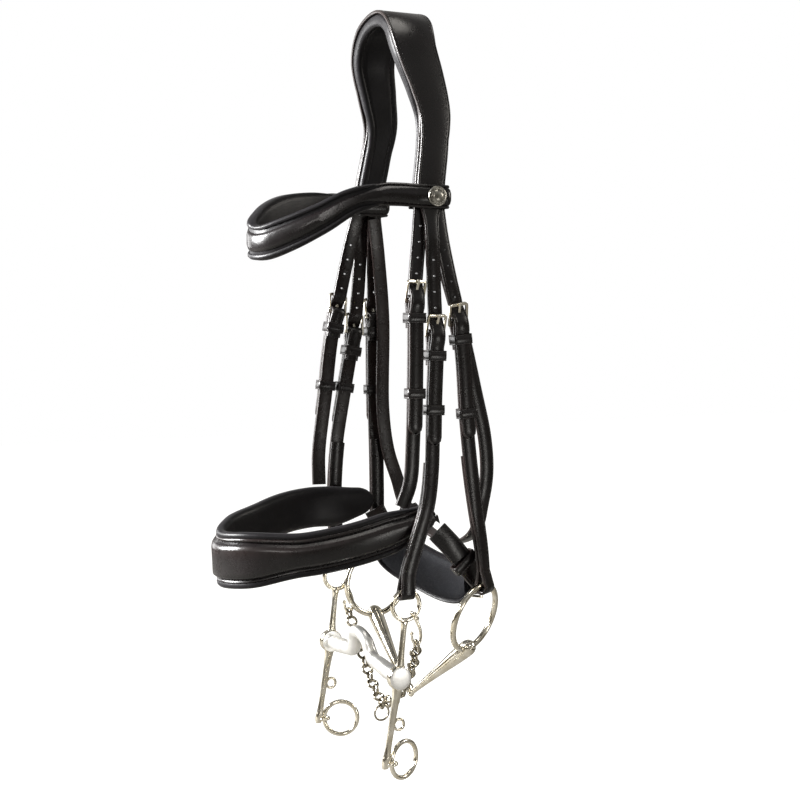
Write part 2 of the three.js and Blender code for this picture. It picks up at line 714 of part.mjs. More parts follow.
function curbCheek(side) {
  const outline = new THREE.Shape([
    new THREE.Vector2(-3, -eyeRadius),
    new THREE.Vector2(bossY - 3, -purchase),
    new THREE.Vector2(footY - 2.2, footZ - footHigh / 2),
    new THREE.Vector2(footY + 2.2, footZ - footHigh / 2),
    new THREE.Vector2(bossY + 3, -purchase),
    new THREE.Vector2(3, -eyeRadius),
  ]);
  const bar = new THREE.ExtrudeGeometry(outline, { depth: shankThick, bevelEnabled: false });
  bar.translate(0, 0, -shankThick / 2);
  bar.applyMatrix4(new THREE.Matrix4().makeBasis(Y, Z, X));
  const topRing = ringAt(eyeRadius, eyeWire, vec(0, 0, 0), X, 22, 6);
  const boss = new THREE.CylinderGeometry(bossRadius, bossRadius, 7, 16).rotateZ(Math.PI / 2);
  boss.translate(side * 0.5, bossY, -purchase);
  const lipY = bossY + lowerLean * 0.55 * lever + 2.2 + 4;
  const lipEye = ringAt(4.3, 1.2, vec(0, lipY, -purchase - 0.55 * lever), X, 10, 5);
  const lugLong = footHole + holeRadius + 2;
  const lug = new THREE.BoxGeometry(2 * holeRadius + 3.4, lugLong + 1.6, footHigh);
  lug.translate(0, footY + lugLong / 2 - 0.8, footZ);
  const drill = new THREE.CylinderGeometry(holeRadius, holeRadius, 3 * footHigh, 12);
  drill.rotateX(Math.PI / 2).translate(0, footY + footHole, footZ);
  const body = cut(join(bar, topRing, boss, lipEye, lug), drill);
  const at = eye(side);
  return body.translate(at.x, at.y, at.z);
}

for (const side of [1, -1]) {
  add("curb_shank_" + sideName(side), curbCheek(side), steel);
  const hole = eye(side).add(vec(0, footY + footHole, footZ));
  const turnIn = 0.38;
  const back = vec(-side * Math.sin(turnIn), Math.cos(turnIn), 0);
  const normal = back.clone().cross(Z);
  const centre = hole.addScaledVector(back, reinRingRadius);
  const ring = ringAt(reinRingRadius, reinRingWire, centre, normal, 22, 6);
  add("curb_rein_ring_" + sideName(side), ring, steel);
}

// The bar across the tongue, from boss to boss, with a raised port in the middle.
function addMouthpiece() {
  const inner = shankX - 3 - gap; // inner face of a boss
  const portHigh = 23;
  const half = [
    [inner, 0, 0, 6.6], [0.78 * inner, 0, 0.5, 6.6], [0.5 * inner, 0.5, 2, 6.2], [20, 0, 4, 5.8],
    [15.5, -1, 10, 5.4], [13, -2.5, 17, 5.2], [8, -4, portHigh - 1.5, 5], [0, -4.5, portHigh, 5],
  ];
  const all = [...half, ...half.slice(0, -1).toReversed().map(([x, y, z, r]) => [-x, y, z, r])];
  const points = all.map(([x, y, z]) => vec(x, eyeY + bossY + y, level(1) - purchase + z));
  add("curb_mouthpiece", rod(points, all.map((row) => row[3]), Y, 10), satin);
}
addMouthpiece();

// ---- Curb hooks and chain ----
const linkRadius = 4.2;
const linkPitch = 7.2; // links are joined where they pull on each other
const hookWire = 1.2;
const hookDrop = 33;
const hookIn = 2; // towards the middle of the head
const hookAngle = 0.7;
const hookEnd = (side) => eye(side).add(vec(-side * hookIn, 10.5, -hookDrop));

for (const side of [1, -1]) {
  const radial = vec(0, Math.sin(hookAngle), -Math.cos(hookAngle));
  const onEye = eye(side).addScaledVector(radial, eyeRadius);
  const loopRadius = eyeWire + hookWire + 2 * gap;
  const loop = ringAt(loopRadius, hookWire, onEye, vec(0, Math.cos(hookAngle), Math.sin(hookAngle)), 14, 6);
  const aside = loopRadius * 0.7;
  const start = onEye.clone().add(vec(-side * aside, 0, 0)).addScaledVector(radial, aside);
  const end = hookEnd(side);
  const points = [
    start, end.clone().add(vec(0, 3, 12)), end.clone().add(vec(0, 3.4, 4)), end.clone().add(vec(0, 1.6, 0.8)),
    end.clone().add(vec(0, -1.6, 0.8)), end.clone().add(vec(0, -3.6, 4)), end.clone().add(vec(0, -4.4, 9)),
  ];
  add("curb_hook_" + sideName(side), join(loop, rod(points, hookWire, X, 6)), steel);
}

// Links from the middle of the chain out to a hook; first is the kind of link it starts with.
function chainHalf(side, low, middle, first) {
  const curve = new THREE.CatmullRomCurve3([low, ...middle, chainEnd(side)], false, "centripetal");
  const count = 2 * Math.round(curve.getLength() / linkPitch / 2) + first;
  const links = [];
  for (let i = 0; i <= count; i++) {
    const run = curve.getTangentAt(i / count);
    const flat = run.clone().cross(Y).normalize();
    const normal = (i + first) % 2 ? flat : flat.clone().cross(run);
    links.push(ringAt(linkRadius, chainWire, curve.getPointAt(i / count), normal, 10, 4));
  }
  add("curb_chain_" + sideName(side), join(...links), steel);
}
const chainEnd = (side) => hookEnd(side).add(vec(0, 0, 0.8 + hookWire + chainWire - linkRadius + 0.2));
const chainLow = vec(0, -17, level(1) - 97);
chainHalf(
  1, chainLow.clone().add(vec(4.9, 0, 2)),
  [vec(0.42 * headHalf, -15, level(1) - 86), vec(0.83 * headHalf, -14.5, level(1) - 56)], 1,
);
chainHalf(
  -1, chainLow, [vec(-0.42 * headHalf, -15.5, level(1) - 82), vec(-0.78 * headHalf, -14.5, level(1) - 60)], 0,
);
const flyRadius = 6.4;
add("fly_ring", ringAt(flyRadius, 0.85, chainLow.clone().add(vec(0, 0, -flyRadius - 1.75)), X, 18, 6), steel);

// ---- Bradoon ----
const jointMiddle = vec(0.02 * headHalf, 8, level(1) - 88);
const eyeLoop = 4.2; // interlinked eyes in the middle of the bit
const eyeLoopWire = 1.5;
const armHead = 6.6;

for (const side of [1, -1]) {
  const name = sideName(side);
  const { centre, normal } = bradoonRing[name];
  add("bradoon_ring_" + name, ringAt(bradoonRadius, bradoonWire, centre, normal, 32, 6), steel);
  const head = onRing(side, Math.PI);
  const eyeCentre = jointMiddle.clone().add(vec(side * (eyeLoop - eyeLoopWire - gap / 2), 0, 0));
  const reach = eyeCentre.clone().add(vec(side * eyeLoop, 0, 0)).sub(head.at);
  const length = reach.length();
  const run = reach.normalize();
  const taper = [
    [-armHead, 3.4], [-0.8 * armHead, 5.4], [0, armHead], [0.15 * length, 6.2], [0.4 * length, 4.8],
    [0.7 * length, 3.2], [length, 2.2],
  ];
  const points = taper.map(([distance]) => head.at.clone().addScaledVector(run, distance));
  const arm = rod(points, taper.map(([, radius]) => radius), Y, 8);
  const middleEye = ringAt(eyeLoop, eyeLoopWire, eyeCentre, side > 0 ? Y : Z, 12, 5);
  const room = ringAt(bradoonRadius, bradoonWire + 1.1, centre, normal, 48, 8);
  add("bradoon_arm_" + name, cut(join(arm, middleEye), room), steel);
}

// The origin goes to the pad's middle, where the headpiece rests.
const restFace = crown.frameAt((crown.length * (crownSteps - 1)) / 2 / crownSteps).at;
for (const { geometry } of bridle.children) geometry.translate(0, -restFace.y, -restFace.z);

export default bridle;
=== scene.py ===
import json
import math

import bpy
from mathutils import Matrix, Vector


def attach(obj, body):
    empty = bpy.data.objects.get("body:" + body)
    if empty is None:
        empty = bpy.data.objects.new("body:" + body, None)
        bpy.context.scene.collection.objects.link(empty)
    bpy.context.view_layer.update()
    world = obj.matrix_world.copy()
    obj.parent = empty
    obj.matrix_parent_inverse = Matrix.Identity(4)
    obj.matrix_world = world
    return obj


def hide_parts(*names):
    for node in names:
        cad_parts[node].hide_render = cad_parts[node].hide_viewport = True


# A double bridle hanging as on a horse's head. Places below are in millimetres, in the frame's axes.
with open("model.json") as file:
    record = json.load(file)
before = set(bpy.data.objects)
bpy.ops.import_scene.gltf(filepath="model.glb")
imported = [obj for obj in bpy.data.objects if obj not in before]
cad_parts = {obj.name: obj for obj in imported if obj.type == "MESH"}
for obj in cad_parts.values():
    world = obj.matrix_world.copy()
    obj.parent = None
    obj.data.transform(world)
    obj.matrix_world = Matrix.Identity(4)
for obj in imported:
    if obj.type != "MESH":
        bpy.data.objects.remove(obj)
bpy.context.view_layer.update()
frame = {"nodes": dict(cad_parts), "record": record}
print("frame loaded")

shift = Vector((0, 4.2956, 0.6656))  # the part's own origin, from the lines below to the frame
X, Y, Z = Vector((1, 0, 0)), Vector((0, 1, 0)), Vector((0, 0, 1))

# Sizes shared with the solid model
bridle = {
    "headHalf": 62, "crownHalf": 30, "browDrop": 140, "cheekDrop": 320,
    "leather": 2.8, "strapWidth": 12, "gap": 0.3, "crownGap": 0.8, "padThick": 5.5,
}
headHalf, browDrop, cheekDrop = bridle["headHalf"], bridle["browDrop"], bridle["cheekDrop"]
leather, strapWidth, gap = bridle["leather"], bridle["strapWidth"], bridle["gap"]
layer = leather + gap
middle = layer / 2
browHalf = headHalf - 13
shankX = headHalf + 6
sides = {"left": 1, "right": -1}


def level(part):
    return -browDrop - part * cheekDrop


def mix(a, b, share):
    return a + (b - a) * share


def ease(value, low, high):
    t = min(1, max(0, (value - low) / (high - low)))
    return t * t * (3 - 2 * t)


# ---- Materials ----
def linear(hexColour):
    values = [int(hexColour[i:i + 2], 16) / 255 for i in (1, 3, 5)]
    return tuple(v / 12.92 if v <= 0.04045 else ((v + 0.055) / 1.055) ** 2.4 for v in values) + (1,)


def addNode(material, kind, settings=None, links=None):
    node = material.node_tree.nodes.new(kind)
    for key, value in (settings or {}).items():
        if isinstance(key, int) or key in node.inputs:
            node.inputs[key].default_value = value
        else:
            setattr(node, key, value)
    for key, source in (links or {}).items():
        material.node_tree.links.new(source, node.inputs[key])
    return node


def blankMaterial(name):
    material = bpy.data.materials.new(name)
    material.use_nodes = True
    material.node_tree.nodes.clear()
    coords = addNode(material, "ShaderNodeTexCoord").outputs["Object"]
    return material, coords


def finishMaterial(material, shader):
    addNode(material, "ShaderNodeOutputMaterial", links={"Surface": shader.outputs["BSDF"]})
    return material


def colourRamp(material, factor, stops):
    ramp = addNode(material, "ShaderNodeValToRGB", links={"Fac": factor})
    elements = ramp.color_ramp.elements
    while len(elements) < len(stops):
        elements.new(0.5)
    for element, (place, colour) in zip(elements, stops):
        element.position = place
        element.color = colour
    return ramp.outputs["Color"]


# Vegetable-tanned cowhide, dyed black and waxed: a satin sheen, fine pores, brown where it is rubbed.
bridleLeather = {"dark": "#090707", "light": "#120e0f", "rubbed": "#211917", "poreMm": 0.7, "creaseMm": 9}


def makeLeather(name, look, roughLow, roughHigh, bump, shine, sheen=0.0, coat=0.12):
    material, coords = blankMaterial(name)
    cloud = addNode(
        material, "ShaderNodeTexNoise", {"Scale": 60, "Detail": 5, "Roughness": 0.6}, {"Vector": coords},
    )
    pores = addNode(material, "ShaderNodeTexVoronoi", {"Scale": 1000 / look["poreMm"]}, {"Vector": coords})
    grain = addNode(
        material, "ShaderNodeTexNoise",
        {"Scale": 1000 / look["creaseMm"], "Detail": 8, "Roughness": 0.65, "Distortion": 0.6},
        {"Vector": coords},
    )
    stops = [(0.3, linear(look["dark"])), (0.75, linear(look["light"]))]
    base = colourRamp(material, cloud.outputs["Fac"], stops)
    wear = addNode(material, "ShaderNodeAttribute", {"attribute_name": "edgeWear"})
    patchy = addNode(
        material, "ShaderNodeMath", {"operation": "MULTIPLY"},
        {0: wear.outputs["Fac"], 1: cloud.outputs["Fac"]},
    )
    rubbed = addNode(
        material, "ShaderNodeMix", {"data_type": "RGBA", 7: linear(look["rubbed"])},
        {0: patchy.outputs[0], 6: base},
    )
    rough = addNode(
        material, "ShaderNodeMapRange", {"To Min": roughLow, "To Max": roughHigh},
        {"Value": grain.outputs["Fac"]},
    )
    fine = addNode(
        material, "ShaderNodeBump", {"Strength": bump, "Distance": 0.00012},
        {"Height": pores.outputs["Distance"]},
    )
    folds = addNode(
        material, "ShaderNodeBump", {"Strength": bump, "Distance": 0.0005},
        {"Height": grain.outputs["Fac"], "Normal": fine.outputs["Normal"]},
    )
    shader = addNode(
        material, "ShaderNodeBsdfPrincipled",
        {"IOR": 1.5, "Specular IOR Level": shine, "Coat Weight": coat, "Coat Roughness": 0.22,
         "Sheen Weight": sheen, "Sheen Roughness": 0.5},
        {"Base Color": rubbed.outputs[2], "Roughness": rough.outputs[0], "Normal": folds.outputs["Normal"]},
    )
    return finishMaterial(material, shader)


def makeMetal(name, colour, stain, roughLow, roughHigh, scratch):
    material, coords = blankMaterial(name)
    cloud = addNode(
        material, "ShaderNodeTexNoise", {"Scale": 90, "Detail": 6, "Roughness": 0.6}, {"Vector": coords},
    )
    stretched = addNode(material, "ShaderNodeMapping", {"Scale": (1, 1, 9)}, {"Vector": coords})
    lines = addNode(
        material, "ShaderNodeTexNoise", {"Scale": 900, "Detail": 3}, {"Vector": stretched.outputs["Vector"]},
    )
    base = colourRamp(material, cloud.outputs["Fac"], [(0.3, linear(stain)), (0.65, linear(colour))])
    rough = addNode(
        material, "ShaderNodeMapRange", {"To Min": roughLow, "To Max": roughHigh},
        {"Value": cloud.outputs["Fac"]},
    )
    bump = addNode(
        material, "ShaderNodeBump", {"Strength": scratch, "Distance": 0.00003},
        {"Height": lines.outputs["Fac"]},
    )
    shader = addNode(
        material, "ShaderNodeBsdfPrincipled", {"Metallic": 1.0},
        {"Base Color": base, "Roughness": rough.outputs[0], "Normal": bump.outputs["Normal"]},
    )
    return finishMaterial(material, shader)


liningLook = {"dark": "#080709", "light": "#100e11", "rubbed": "#1a161a", "poreMm": 0.9, "creaseMm": 6}
brushedLook = {"dark": "#050508", "light": "#0b0c10", "rubbed": "#131418", "poreMm": 0.5, "creaseMm": 4}
threadLook = {"dark": "#110e0f", "light": "#221d1d", "rubbed": "#2c2626", "poreMm": 0.3, "creaseMm": 1}
waxedLeather = makeLeather("waxed_bridle_leather", bridleLeather, 0.2, 0.36, 0.3, 0.36)
softLining = makeLeather("soft_lining_leather", liningLook, 0.34, 0.52, 0.5, 0.18, 0.02, 0.05)
brushedLining = makeLeather("brushed_lining", brushedLook, 0.55, 0.8, 0.8, 0.1, 0.03, 0.0)
waxedThread = makeLeather("waxed_linen_thread", threadLook, 0.35, 0.5, 0.6, 0.3, 0.1, 0.1)
polishedSteel = makeMetal("polished_stainless_steel", "#f4efe2", "#cfc6ae", 0.08, 0.19, 0.12)
satinSteel = makeMetal("satin_stainless_steel", "#fdfdfb", "#ecebe8", 0.3, 0.42, 0.3)
wornSteel = makeMetal("worn_stainless_steel", "#b3ac9c", "#5f594c", 0.12, 0.32, 0.3)
engravedSteel = makeMetal("engraved_stainless_steel", "#b4b1a8", "#6f6c65", 0.2, 0.42, 0.8)
print("materials made")


# ---- Lines that straps lie along ----
class StrapLine:
    def __init__(self, points, across, acrossEnd=None):
        points = [Vector(p) + shift for p in points]
        self.across, self.acrossEnd = across, acrossEnd or across
        ends = [2 * points[0] - points[1], *points, 2 * points[-1] - points[-2]]
        self.places = []
        for i in range(1, len(ends) - 2):
            self.places += smoothSpan(ends[i - 1:i + 3], 40)
        self.places.append(points[-1])
        self.marks = [0.0]
        for a, b in zip(self.places, self.places[1:]):
            self.marks.append(self.marks[-1] + (b - a).length)
        self.length = self.marks[-1]

    def frameAt(self, distance):
        inside = min(self.length, max(0, distance))
        low, high = 0, len(self.marks) - 1
        while high - low > 1:
            half = (low + high) // 2
            if self.marks[half] <= inside:
                low = half
            else:
                high = half
        span = self.marks[high] - self.marks[low]
        share = (inside - self.marks[low]) / span if span else 0
        before, after = self.places[max(0, low - 1)], self.places[min(len(self.places) - 1, high + 1)]
        run = (after - before).normalized()
        at = self.places[low].lerp(self.places[high], share) + run * (distance - inside)
        side = self.across.lerp(self.acrossEnd, ease(inside / self.length, 0.7, 1))
        out = run.cross(side).normalized()
        return at, run, out.cross(run), out

    def point(self, distance, rise=0.0, beside=0.0):
        at, _, wide, out = self.frameAt(distance)
        return at + out * rise + wide * beside

    def reach(self, height):
        low, high = 0.0, self.length
        while high - low > 0.01:
            half = (low + high) / 2
            if self.frameAt(half)[0].z > height + shift.z:
                low = half
            else:
                high = half
        return low


def smoothSpan(four, count):  # a centripetal curve between the two middle points
    p0, p1, p2, p3 = four
    t0 = 0.0
    t1 = t0 + max(1e-6, (p1 - p0).length) ** 0.5
    t2 = t1 + max(1e-6, (p2 - p1).length) ** 0.5
    t3 = t2 + max(1e-6, (p3 - p2).length) ** 0.5
    places = []
    for i in range(count):
        t = t1 + (t2 - t1) * i / count
        a1 = p0 * ((t1 - t) / (t1 - t0)) + p1 * ((t - t0) / (t1 - t0))
        a2 = p1 * ((t2 - t) / (t2 - t1)) + p2 * ((t - t1) / (t2 - t1))
        a3 = p2 * ((t3 - t) / (t3 - t2)) + p3 * ((t - t2) / (t3 - t2))
        b1 = a1 * ((t2 - t) / (t2 - t0)) + a2 * ((t - t0) / (t2 - t0))
        b2 = a2 * ((t3 - t) / (t3 - t1)) + a3 * ((t - t1) / (t3 - t1))
        places.append(b1 * ((t2 - t) / (t2 - t1)) + b2 * ((t - t1) / (t2 - t1)))
    return places


# ---- Making pieces ----
def deselectAll():
    if bpy.context.object and bpy.context.object.mode != "OBJECT":
        bpy.ops.object.mode_set(mode="OBJECT")
    bpy.ops.object.select_all(action="DESELECT")


def makeActive(piece):
    deselectAll()
    piece.select_set(True)
    bpy.context.view_layer.objects.active = piece


def nameOf(node):
    first, *rest = node.split("_")
    return first + "".join(word.capitalize() for word in rest)


def bodyHolding(node):
    for body, nodes in frame["record"]["behaviour"]["bodies"].items():
        if node in nodes:
            return body
    return "headstall"


def finishPiece(piece, node, material, body=None):
    piece.data.materials.clear()
    piece.data.materials.append(material)
    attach(piece, body or bodyHolding(node))
    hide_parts(node)
    return piece


def closeMesh(piece, smoothAngle=38):
    makeActive(piece)
    bpy.ops.object.mode_set(mode="EDIT")
    bpy.ops.mesh.select_all(action="SELECT")
    bpy.ops.mesh.remove_doubles(threshold=1e-7)
    bpy.ops.mesh.fill_holes(sides=0)
    bpy.ops.mesh.select_all(action="SELECT")
    bpy.ops.mesh.normals_make_consistent(inside=False)
    bpy.ops.object.mode_set(mode="OBJECT")
    bpy.ops.object.shade_smooth_by_angle(angle=math.radians(smoothAngle))


# A grid is laid through rows of places, each row going once round the piece.
def layRows(name, rows, wear=None, smoothAngle=38):
    deselectAll()
    long, round_ = len(rows), len(rows[0])
    bpy.ops.mesh.primitive_grid_add(
        x_subdivisions=long - 1, y_subdivisions=round_, size=1, location=(0, 0, 0),
    )
    piece = bpy.context.object
    piece.name = name
    attribute = piece.data.attributes.new("edgeWear", "FLOAT", "POINT")
    worn = [0.0] * len(piece.data.vertices)
    for vertex in piece.data.vertices:
        i = round((vertex.co.x + 0.5) * (long - 1))
        j = round((vertex.co.y + 0.5) * round_) % round_
        vertex.co = rows[i][j] * 0.001
        if wear:
            worn[vertex.index] = wear[j]
    attribute.data.foreach_set("value", worn)
    closeMesh(piece, smoothAngle)
    return piece


def stationsThrough(places, across):
    stations = []
    for i, at in enumerate(places):
        run = (places[min(i + 1, len(places) - 1)] - places[max(i - 1, 0)]).normalized()
        side = across[i] if isinstance(across, list) else across
        out = run.cross(side).normalized()
        stations.append({"at": at, "out": out, "wide": out.cross(run), "run": run, "widen": 1, "thicken": 1})
    return stations


def rowsOf(section, stations):
    rows = []
    for s in stations:
        shape = section(s) if callable(section) else section
        rows.append([
            s["at"] + s["wide"] * (a * s["widen"]) + s["out"] * (o * s["thicken"]) for a, o, *_ in shape
        ])
    return rows


# A strap's outline: round corners and a creased line along each edge of the outer face.
def roundSlab(width, thick, corner=0.75, crease=1.7):
    points = []
    for sx, sy, start in ((1, -1, -90), (1, 1, 0), (-1, 1, 90), (-1, -1, 180)):
        for k in range(4):
            angle = math.radians(start + 30 * k)
            x = sx * (width / 2 - corner) + corner * math.cos(angle)
            y = sy * (thick / 2 - corner) + corner * math.sin(angle)
            points.append((x, y, 1.0))
        if (sx, sy) == (1, 1) and crease:
            for edge in (width / 2 - crease, crease - width / 2):
                top = thick / 2
                points += [(edge + 0.4, top, 0.3), (edge, top - 0.25, 0), (edge - 0.4, top, 0)]
    return points


def wearOf(section):
    return [point[2] for point in section]


def tubeRows(places, radii, normal, count=20):
    stations = stationsThrough(places, normal)
    rows = []
    for s, radius in zip(stations, radii if isinstance(radii, list) else [radii] * len(places)):
        rows.append([
            s["at"] + (s["wide"] * math.cos(t) + s["out"] * math.sin(t)) * radius
            for t in (2 * math.pi * k / count for k in range(count))
        ])
    return rows


# The rounded end of a rod: its last rows close to a dome.
def domed(places, radii, steps=4):
    newPlaces, newRadii = list(places), list(radii)
    for end in (0, -1):
        at, radius = places[end], radii[end]
        inward = (places[1] - at if end == 0 else places[-2] - at).normalized()
        dome = []
        for k in range(1, steps + 1):
            angle = math.pi / 2 * k / steps
            dome.append((at - inward * radius * 0.45 * math.sin(angle), max(0.02, radius * math.cos(angle))))
        if end == 0:
            newPlaces = [p for p, _ in reversed(dome)] + newPlaces
            newRadii = [r for _, r in reversed(dome)] + newRadii
        else:
            newPlaces += [p for p, _ in dome]
            newRadii += [r for _, r in dome]
    return newPlaces, newRadii


def ringPiece(radius, wire, centre, normal, segments=72, sidesRound=16):
    deselectAll()
    turn = Z.rotation_difference(normal.normalized()).to_euler()
    bpy.ops.mesh.primitive_torus_add(
        major_radius=radius / 1000, minor_radius=wire / 1000,
        major_segments=segments, minor_segments=sidesRound,
        location=centre / 1000, rotation=turn,
    )
    piece = bpy.context.object
    bpy.ops.object.transform_apply(location=True, rotation=True, scale=True)
    bpy.ops.object.shade_smooth()
    return piece


def joinAll(pieces, name):
    deselectAll()
    for piece in pieces:
        piece.select_set(True)
    bpy.context.view_layer.objects.active = pieces[0]
    if len(pieces) > 1:
        bpy.ops.object.join()
    piece = bpy.context.object
    piece.name = name
    return piece


def roundEdges(piece, width, segments=3, angle=30):
    makeActive(piece)
    modifier = piece.modifiers.new("roundedEdges", "BEVEL")
    modifier.width = width / 1000
    modifier.segments = segments
    modifier.limit_method = "ANGLE"
    modifier.angle_limit = math.radians(angle)
    bpy.ops.object.modifier_apply(modifier="roundedEdges")
    bpy.ops.object.shade_smooth_by_angle(angle=math.radians(40))


# A solid's own shape with its edges rounded.
def roundedCopy(node, width, segments=3, angle=30):
    source = frame["nodes"][node]
    piece = source.copy()
    piece.data = source.data.copy()
    piece.parent = None
    piece.matrix_world = Matrix.Identity(4)
    bpy.context.collection.objects.link(piece)
    for modifier in list(piece.modifiers):
        piece.modifiers.remove(modifier)
    for key in list(piece.keys()):
        del piece[key]
    piece.name = nameOf(node)
    makeActive(piece)
    bpy.ops.object.mode_set(mode="EDIT")
    bpy.ops.mesh.select_all(action="SELECT")
    bpy.ops.mesh.remove_doubles(threshold=2e-6)
    bpy.ops.mesh.dissolve_limited(angle_limit=math.radians(2))
    bpy.ops.mesh.normals_make_consistent(inside=False)
    bpy.ops.object.mode_set(mode="OBJECT")
    if width:
        roundEdges(piece, width, segments, angle)
    return piece


# ---- Stitches: one is modelled, and the rest are copies laid end to end ----
stitching = {"pitch": 3.6, "length": 2.7, "width": 0.62, "high": 0.42}
stitchPlaces = []


def sew(line, rise, beside, start, end):
    count = max(1, int(abs(end - start) / stitching["pitch"]))
    for i in range(count):
        distance = start + (end - start) * (i + 0.5) / count
        edge = beside(distance) if callable(beside) else beside
        height = rise(distance) if callable(rise) else rise
        at, run, wide, out = line.frameAt(distance)
        ahead = line.point(distance + 1, height, beside(distance + 1) if callable(beside) else beside)
        here = at + out * height + wide * edge
        stitchPlaces.append((here, (ahead - here).normalized(), out))


def makeStitches():
    deselectAll()
    bpy.ops.mesh.primitive_uv_sphere_add(segments=8, ring_count=5, radius=0.5)
    model = bpy.context.object
    corners = [Vector(v.co) for v in model.data.vertices]
    faces = [list(p.vertices) for p in model.data.polygons]
    bpy.data.objects.remove(model, do_unlink=True)
    vertices, polygons = [], []
    size = Vector((stitching["length"], stitching["width"], stitching["high"]))
    for at, run, out in stitchPlaces:
        wide = out.cross(run).normalized()
        first = len(vertices)
        for corner in corners:
            place = at + run * (corner.x * size.x) + wide * (corner.y * size.y) + out * (corner.z * size.z)
            vertices.append(place / 1000)
        polygons += [[first + k for k in face] for face in faces]
    mesh = bpy.data.meshes.new("stitches")
    mesh.from_pydata(vertices, [], polygons)
    piece = bpy.data.objects.new("stitches", mesh)
    bpy.context.collection.objects.link(piece)
    makeActive(piece)
    bpy.ops.object.shade_smooth()
    piece.data.materials.append(waxedThread)
    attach(piece, "headstall")
    return piece


# ---- Lines of the straps, [part of the cheek's drop, forward or back, in or out] ----
noseband = {"high": 34, "frontHigh": 44, "thick": 6, "level": level(0.87), "crankWidth": 18}
nosePoints = [
    (0.9, 3, 26), (0.92, -12, 22), (0.92, -31, 16), (0.89, -62, 8), (0.79, -95, 2), (0.63, -122, -1),
    (0.38, -146, -4), (0, -157, -5), (-0.35, -143, 2), (-0.61, -118, 11), (-0.79, -88, 19),
    (-0.89, -60, 22), (-0.9, -35, 22), (-0.88, -12, 25), (-0.86, -2, 27),
]
noseLine = StrapLine([(s * headHalf, y, noseband["level"] + z) for s, y, z in nosePoints], -Z)


def noseTop(side):
    rise = 18.5 if side > 0 else 23
    return (-browDrop - (noseband["level"] + rise + noseband["high"] / 2 + 2 * gap)) / cheekDrop


curb = {
    "eyeY": -28, "eyeRadius": 11.8, "eyeWire": 1.75, "purchase": 57, "lever": 68,
    "reinRing": 14.5, "reinWire": 1.9, "upperLean": -0.105, "lowerLean": -0.17, "footHole": 5,
}
bossY = curb["upperLean"] * curb["purchase"]
footY = bossY + curb["lowerLean"] * curb["lever"]
footZ = -curb["purchase"] - curb["lever"]
bradoon = {"radius": 28, "wire": 2.4, "eyeLoop": 4.2, "eyeWire": 1.5}
bradoonRing = {
    "left": (Vector((headHalf, 37, level(1.053))), Vector((0.86, 0.43, -0.27)).normalized()),
    "right": (Vector((-headHalf, 6, level(1.025))), Vector((1, 0.06, 0.02)).normalized()),
}


def eyeAt(side):
    return Vector((sides[side] * shankX, curb["eyeY"], level(1)))


def onRing(side, angle):  # a place on a bradoon ring's wire, from its top, and the wire's direction there
    centre, normal = bradoonRing[side]
    top = (Z - normal * normal.z).normalized()
    along = top.cross(normal)
    spoke = top * math.cos(angle) + along * math.sin(angle)
    return centre + spoke * bradoon["radius"], spoke.cross(normal)


strapPlaces = {
    "noseband_left": [
        (0, -8.6, -8.6), (0.1, -13.2, -4.2), (0.23, -18.6, -0.2), (0.4, -19.2, 0), (0.6, -20.5, 0),
        (0.7, -22.5, -1), (noseTop(1), -28, -4),
    ],
    "curb_left": [
        (0, -4, -4.6), (0.1, -4.2, 1), (0.23, -2, 0), (0.32, -0.8, 0), (0.5, -2.6, 0), (0.68, -5, 2),
        (0.76, -9.5, 4), (0.84, -18, 4.4), (0.92, -26, 4.4), (0.955, -28, 4.4),
    ],
    "bradoon_left": [
        (0, 4, -8.6), (0.1, 6.4, -3.4), (0.2, 12, 0), (0.28, 18.5, 0), (0.4, 23.5, 0), (0.53, 26.5, 0),
        (0.66, 31, 0), (0.78, 36, 1), (0.88, 40, 3),
    ],
    "noseband_right": [
        (0, -9.6, -8.6), (0.1, -17, -3.4), (0.24, -26, 0), (0.36, -34, 0), (0.5, -39.5, 0),
        (0.66, -46.5, -1), (noseTop(-1), -47.5, -4),
    ],
    "curb_right": [
        (0, -4, -4.6), (0.1, -5.4, 1), (0.24, -9.2, 0), (0.36, -14, 0), (0.5, -22, 0), (0.64, -29, 1),
        (0.78, -31, 3), (0.9, -29, 4.4), (0.95, -28.2, 4.4),
    ],
    "bradoon_right": [
        (0, 3.4, -8.6), (0.1, 4.6, -3.4), (0.24, 6, 0), (0.5, 6.5, 0), (0.7, 8, 0), (0.86, 8.5, 0.5),
    ],
}


def strapLine(kind, side):
    sign = sides[side]
    points = [Vector((sign * (headHalf + s), y, level(p))) for p, y, s in strapPlaces[f"{kind}_{side}"]]
    across = Y * sign
    if kind == "noseband":
        return StrapLine(points, across)
    ringPlace, wire = onRing(side, 0.1 if side == "left" else 0)
    end = eyeAt(side) + Z * curb["eyeRadius"] if kind == "curb" else ringPlace
    acrossEnd = across if kind == "curb" else wire
    if acrossEnd.dot(across) < 0:
        acrossEnd = -acrossEnd
    out = (-Z).cross(acrossEnd).normalized()
    return StrapLine([*points, end - out * middle], across, acrossEnd)


straps = {
    ("noseband", "left"): {"buckle": 0.255, "keepers": (13, 72), "billet": 104},
    ("curb", "left"): {"buckle": 0.338, "keepers": (16, 59), "billet": 87},
    ("bradoon", "left"): {"buckle": 0.31, "keepers": (12.5, 71.5), "billet": 92},
    ("noseband", "right"): {"buckle": 0.285, "keepers": (13, 63), "billet": 92},
    ("curb", "right"): {"buckle": 0.338, "keepers": (16, 48), "billet": 82},
    ("bradoon", "right"): {"buckle": 0.297, "keepers": (12.5, 63), "billet": 92},
}
for (kind, side), strap in straps.items():
    strap["line"] = strapLine(kind, side)
    strap["at"] = strap["line"].reach(level(strap["buckle"]))

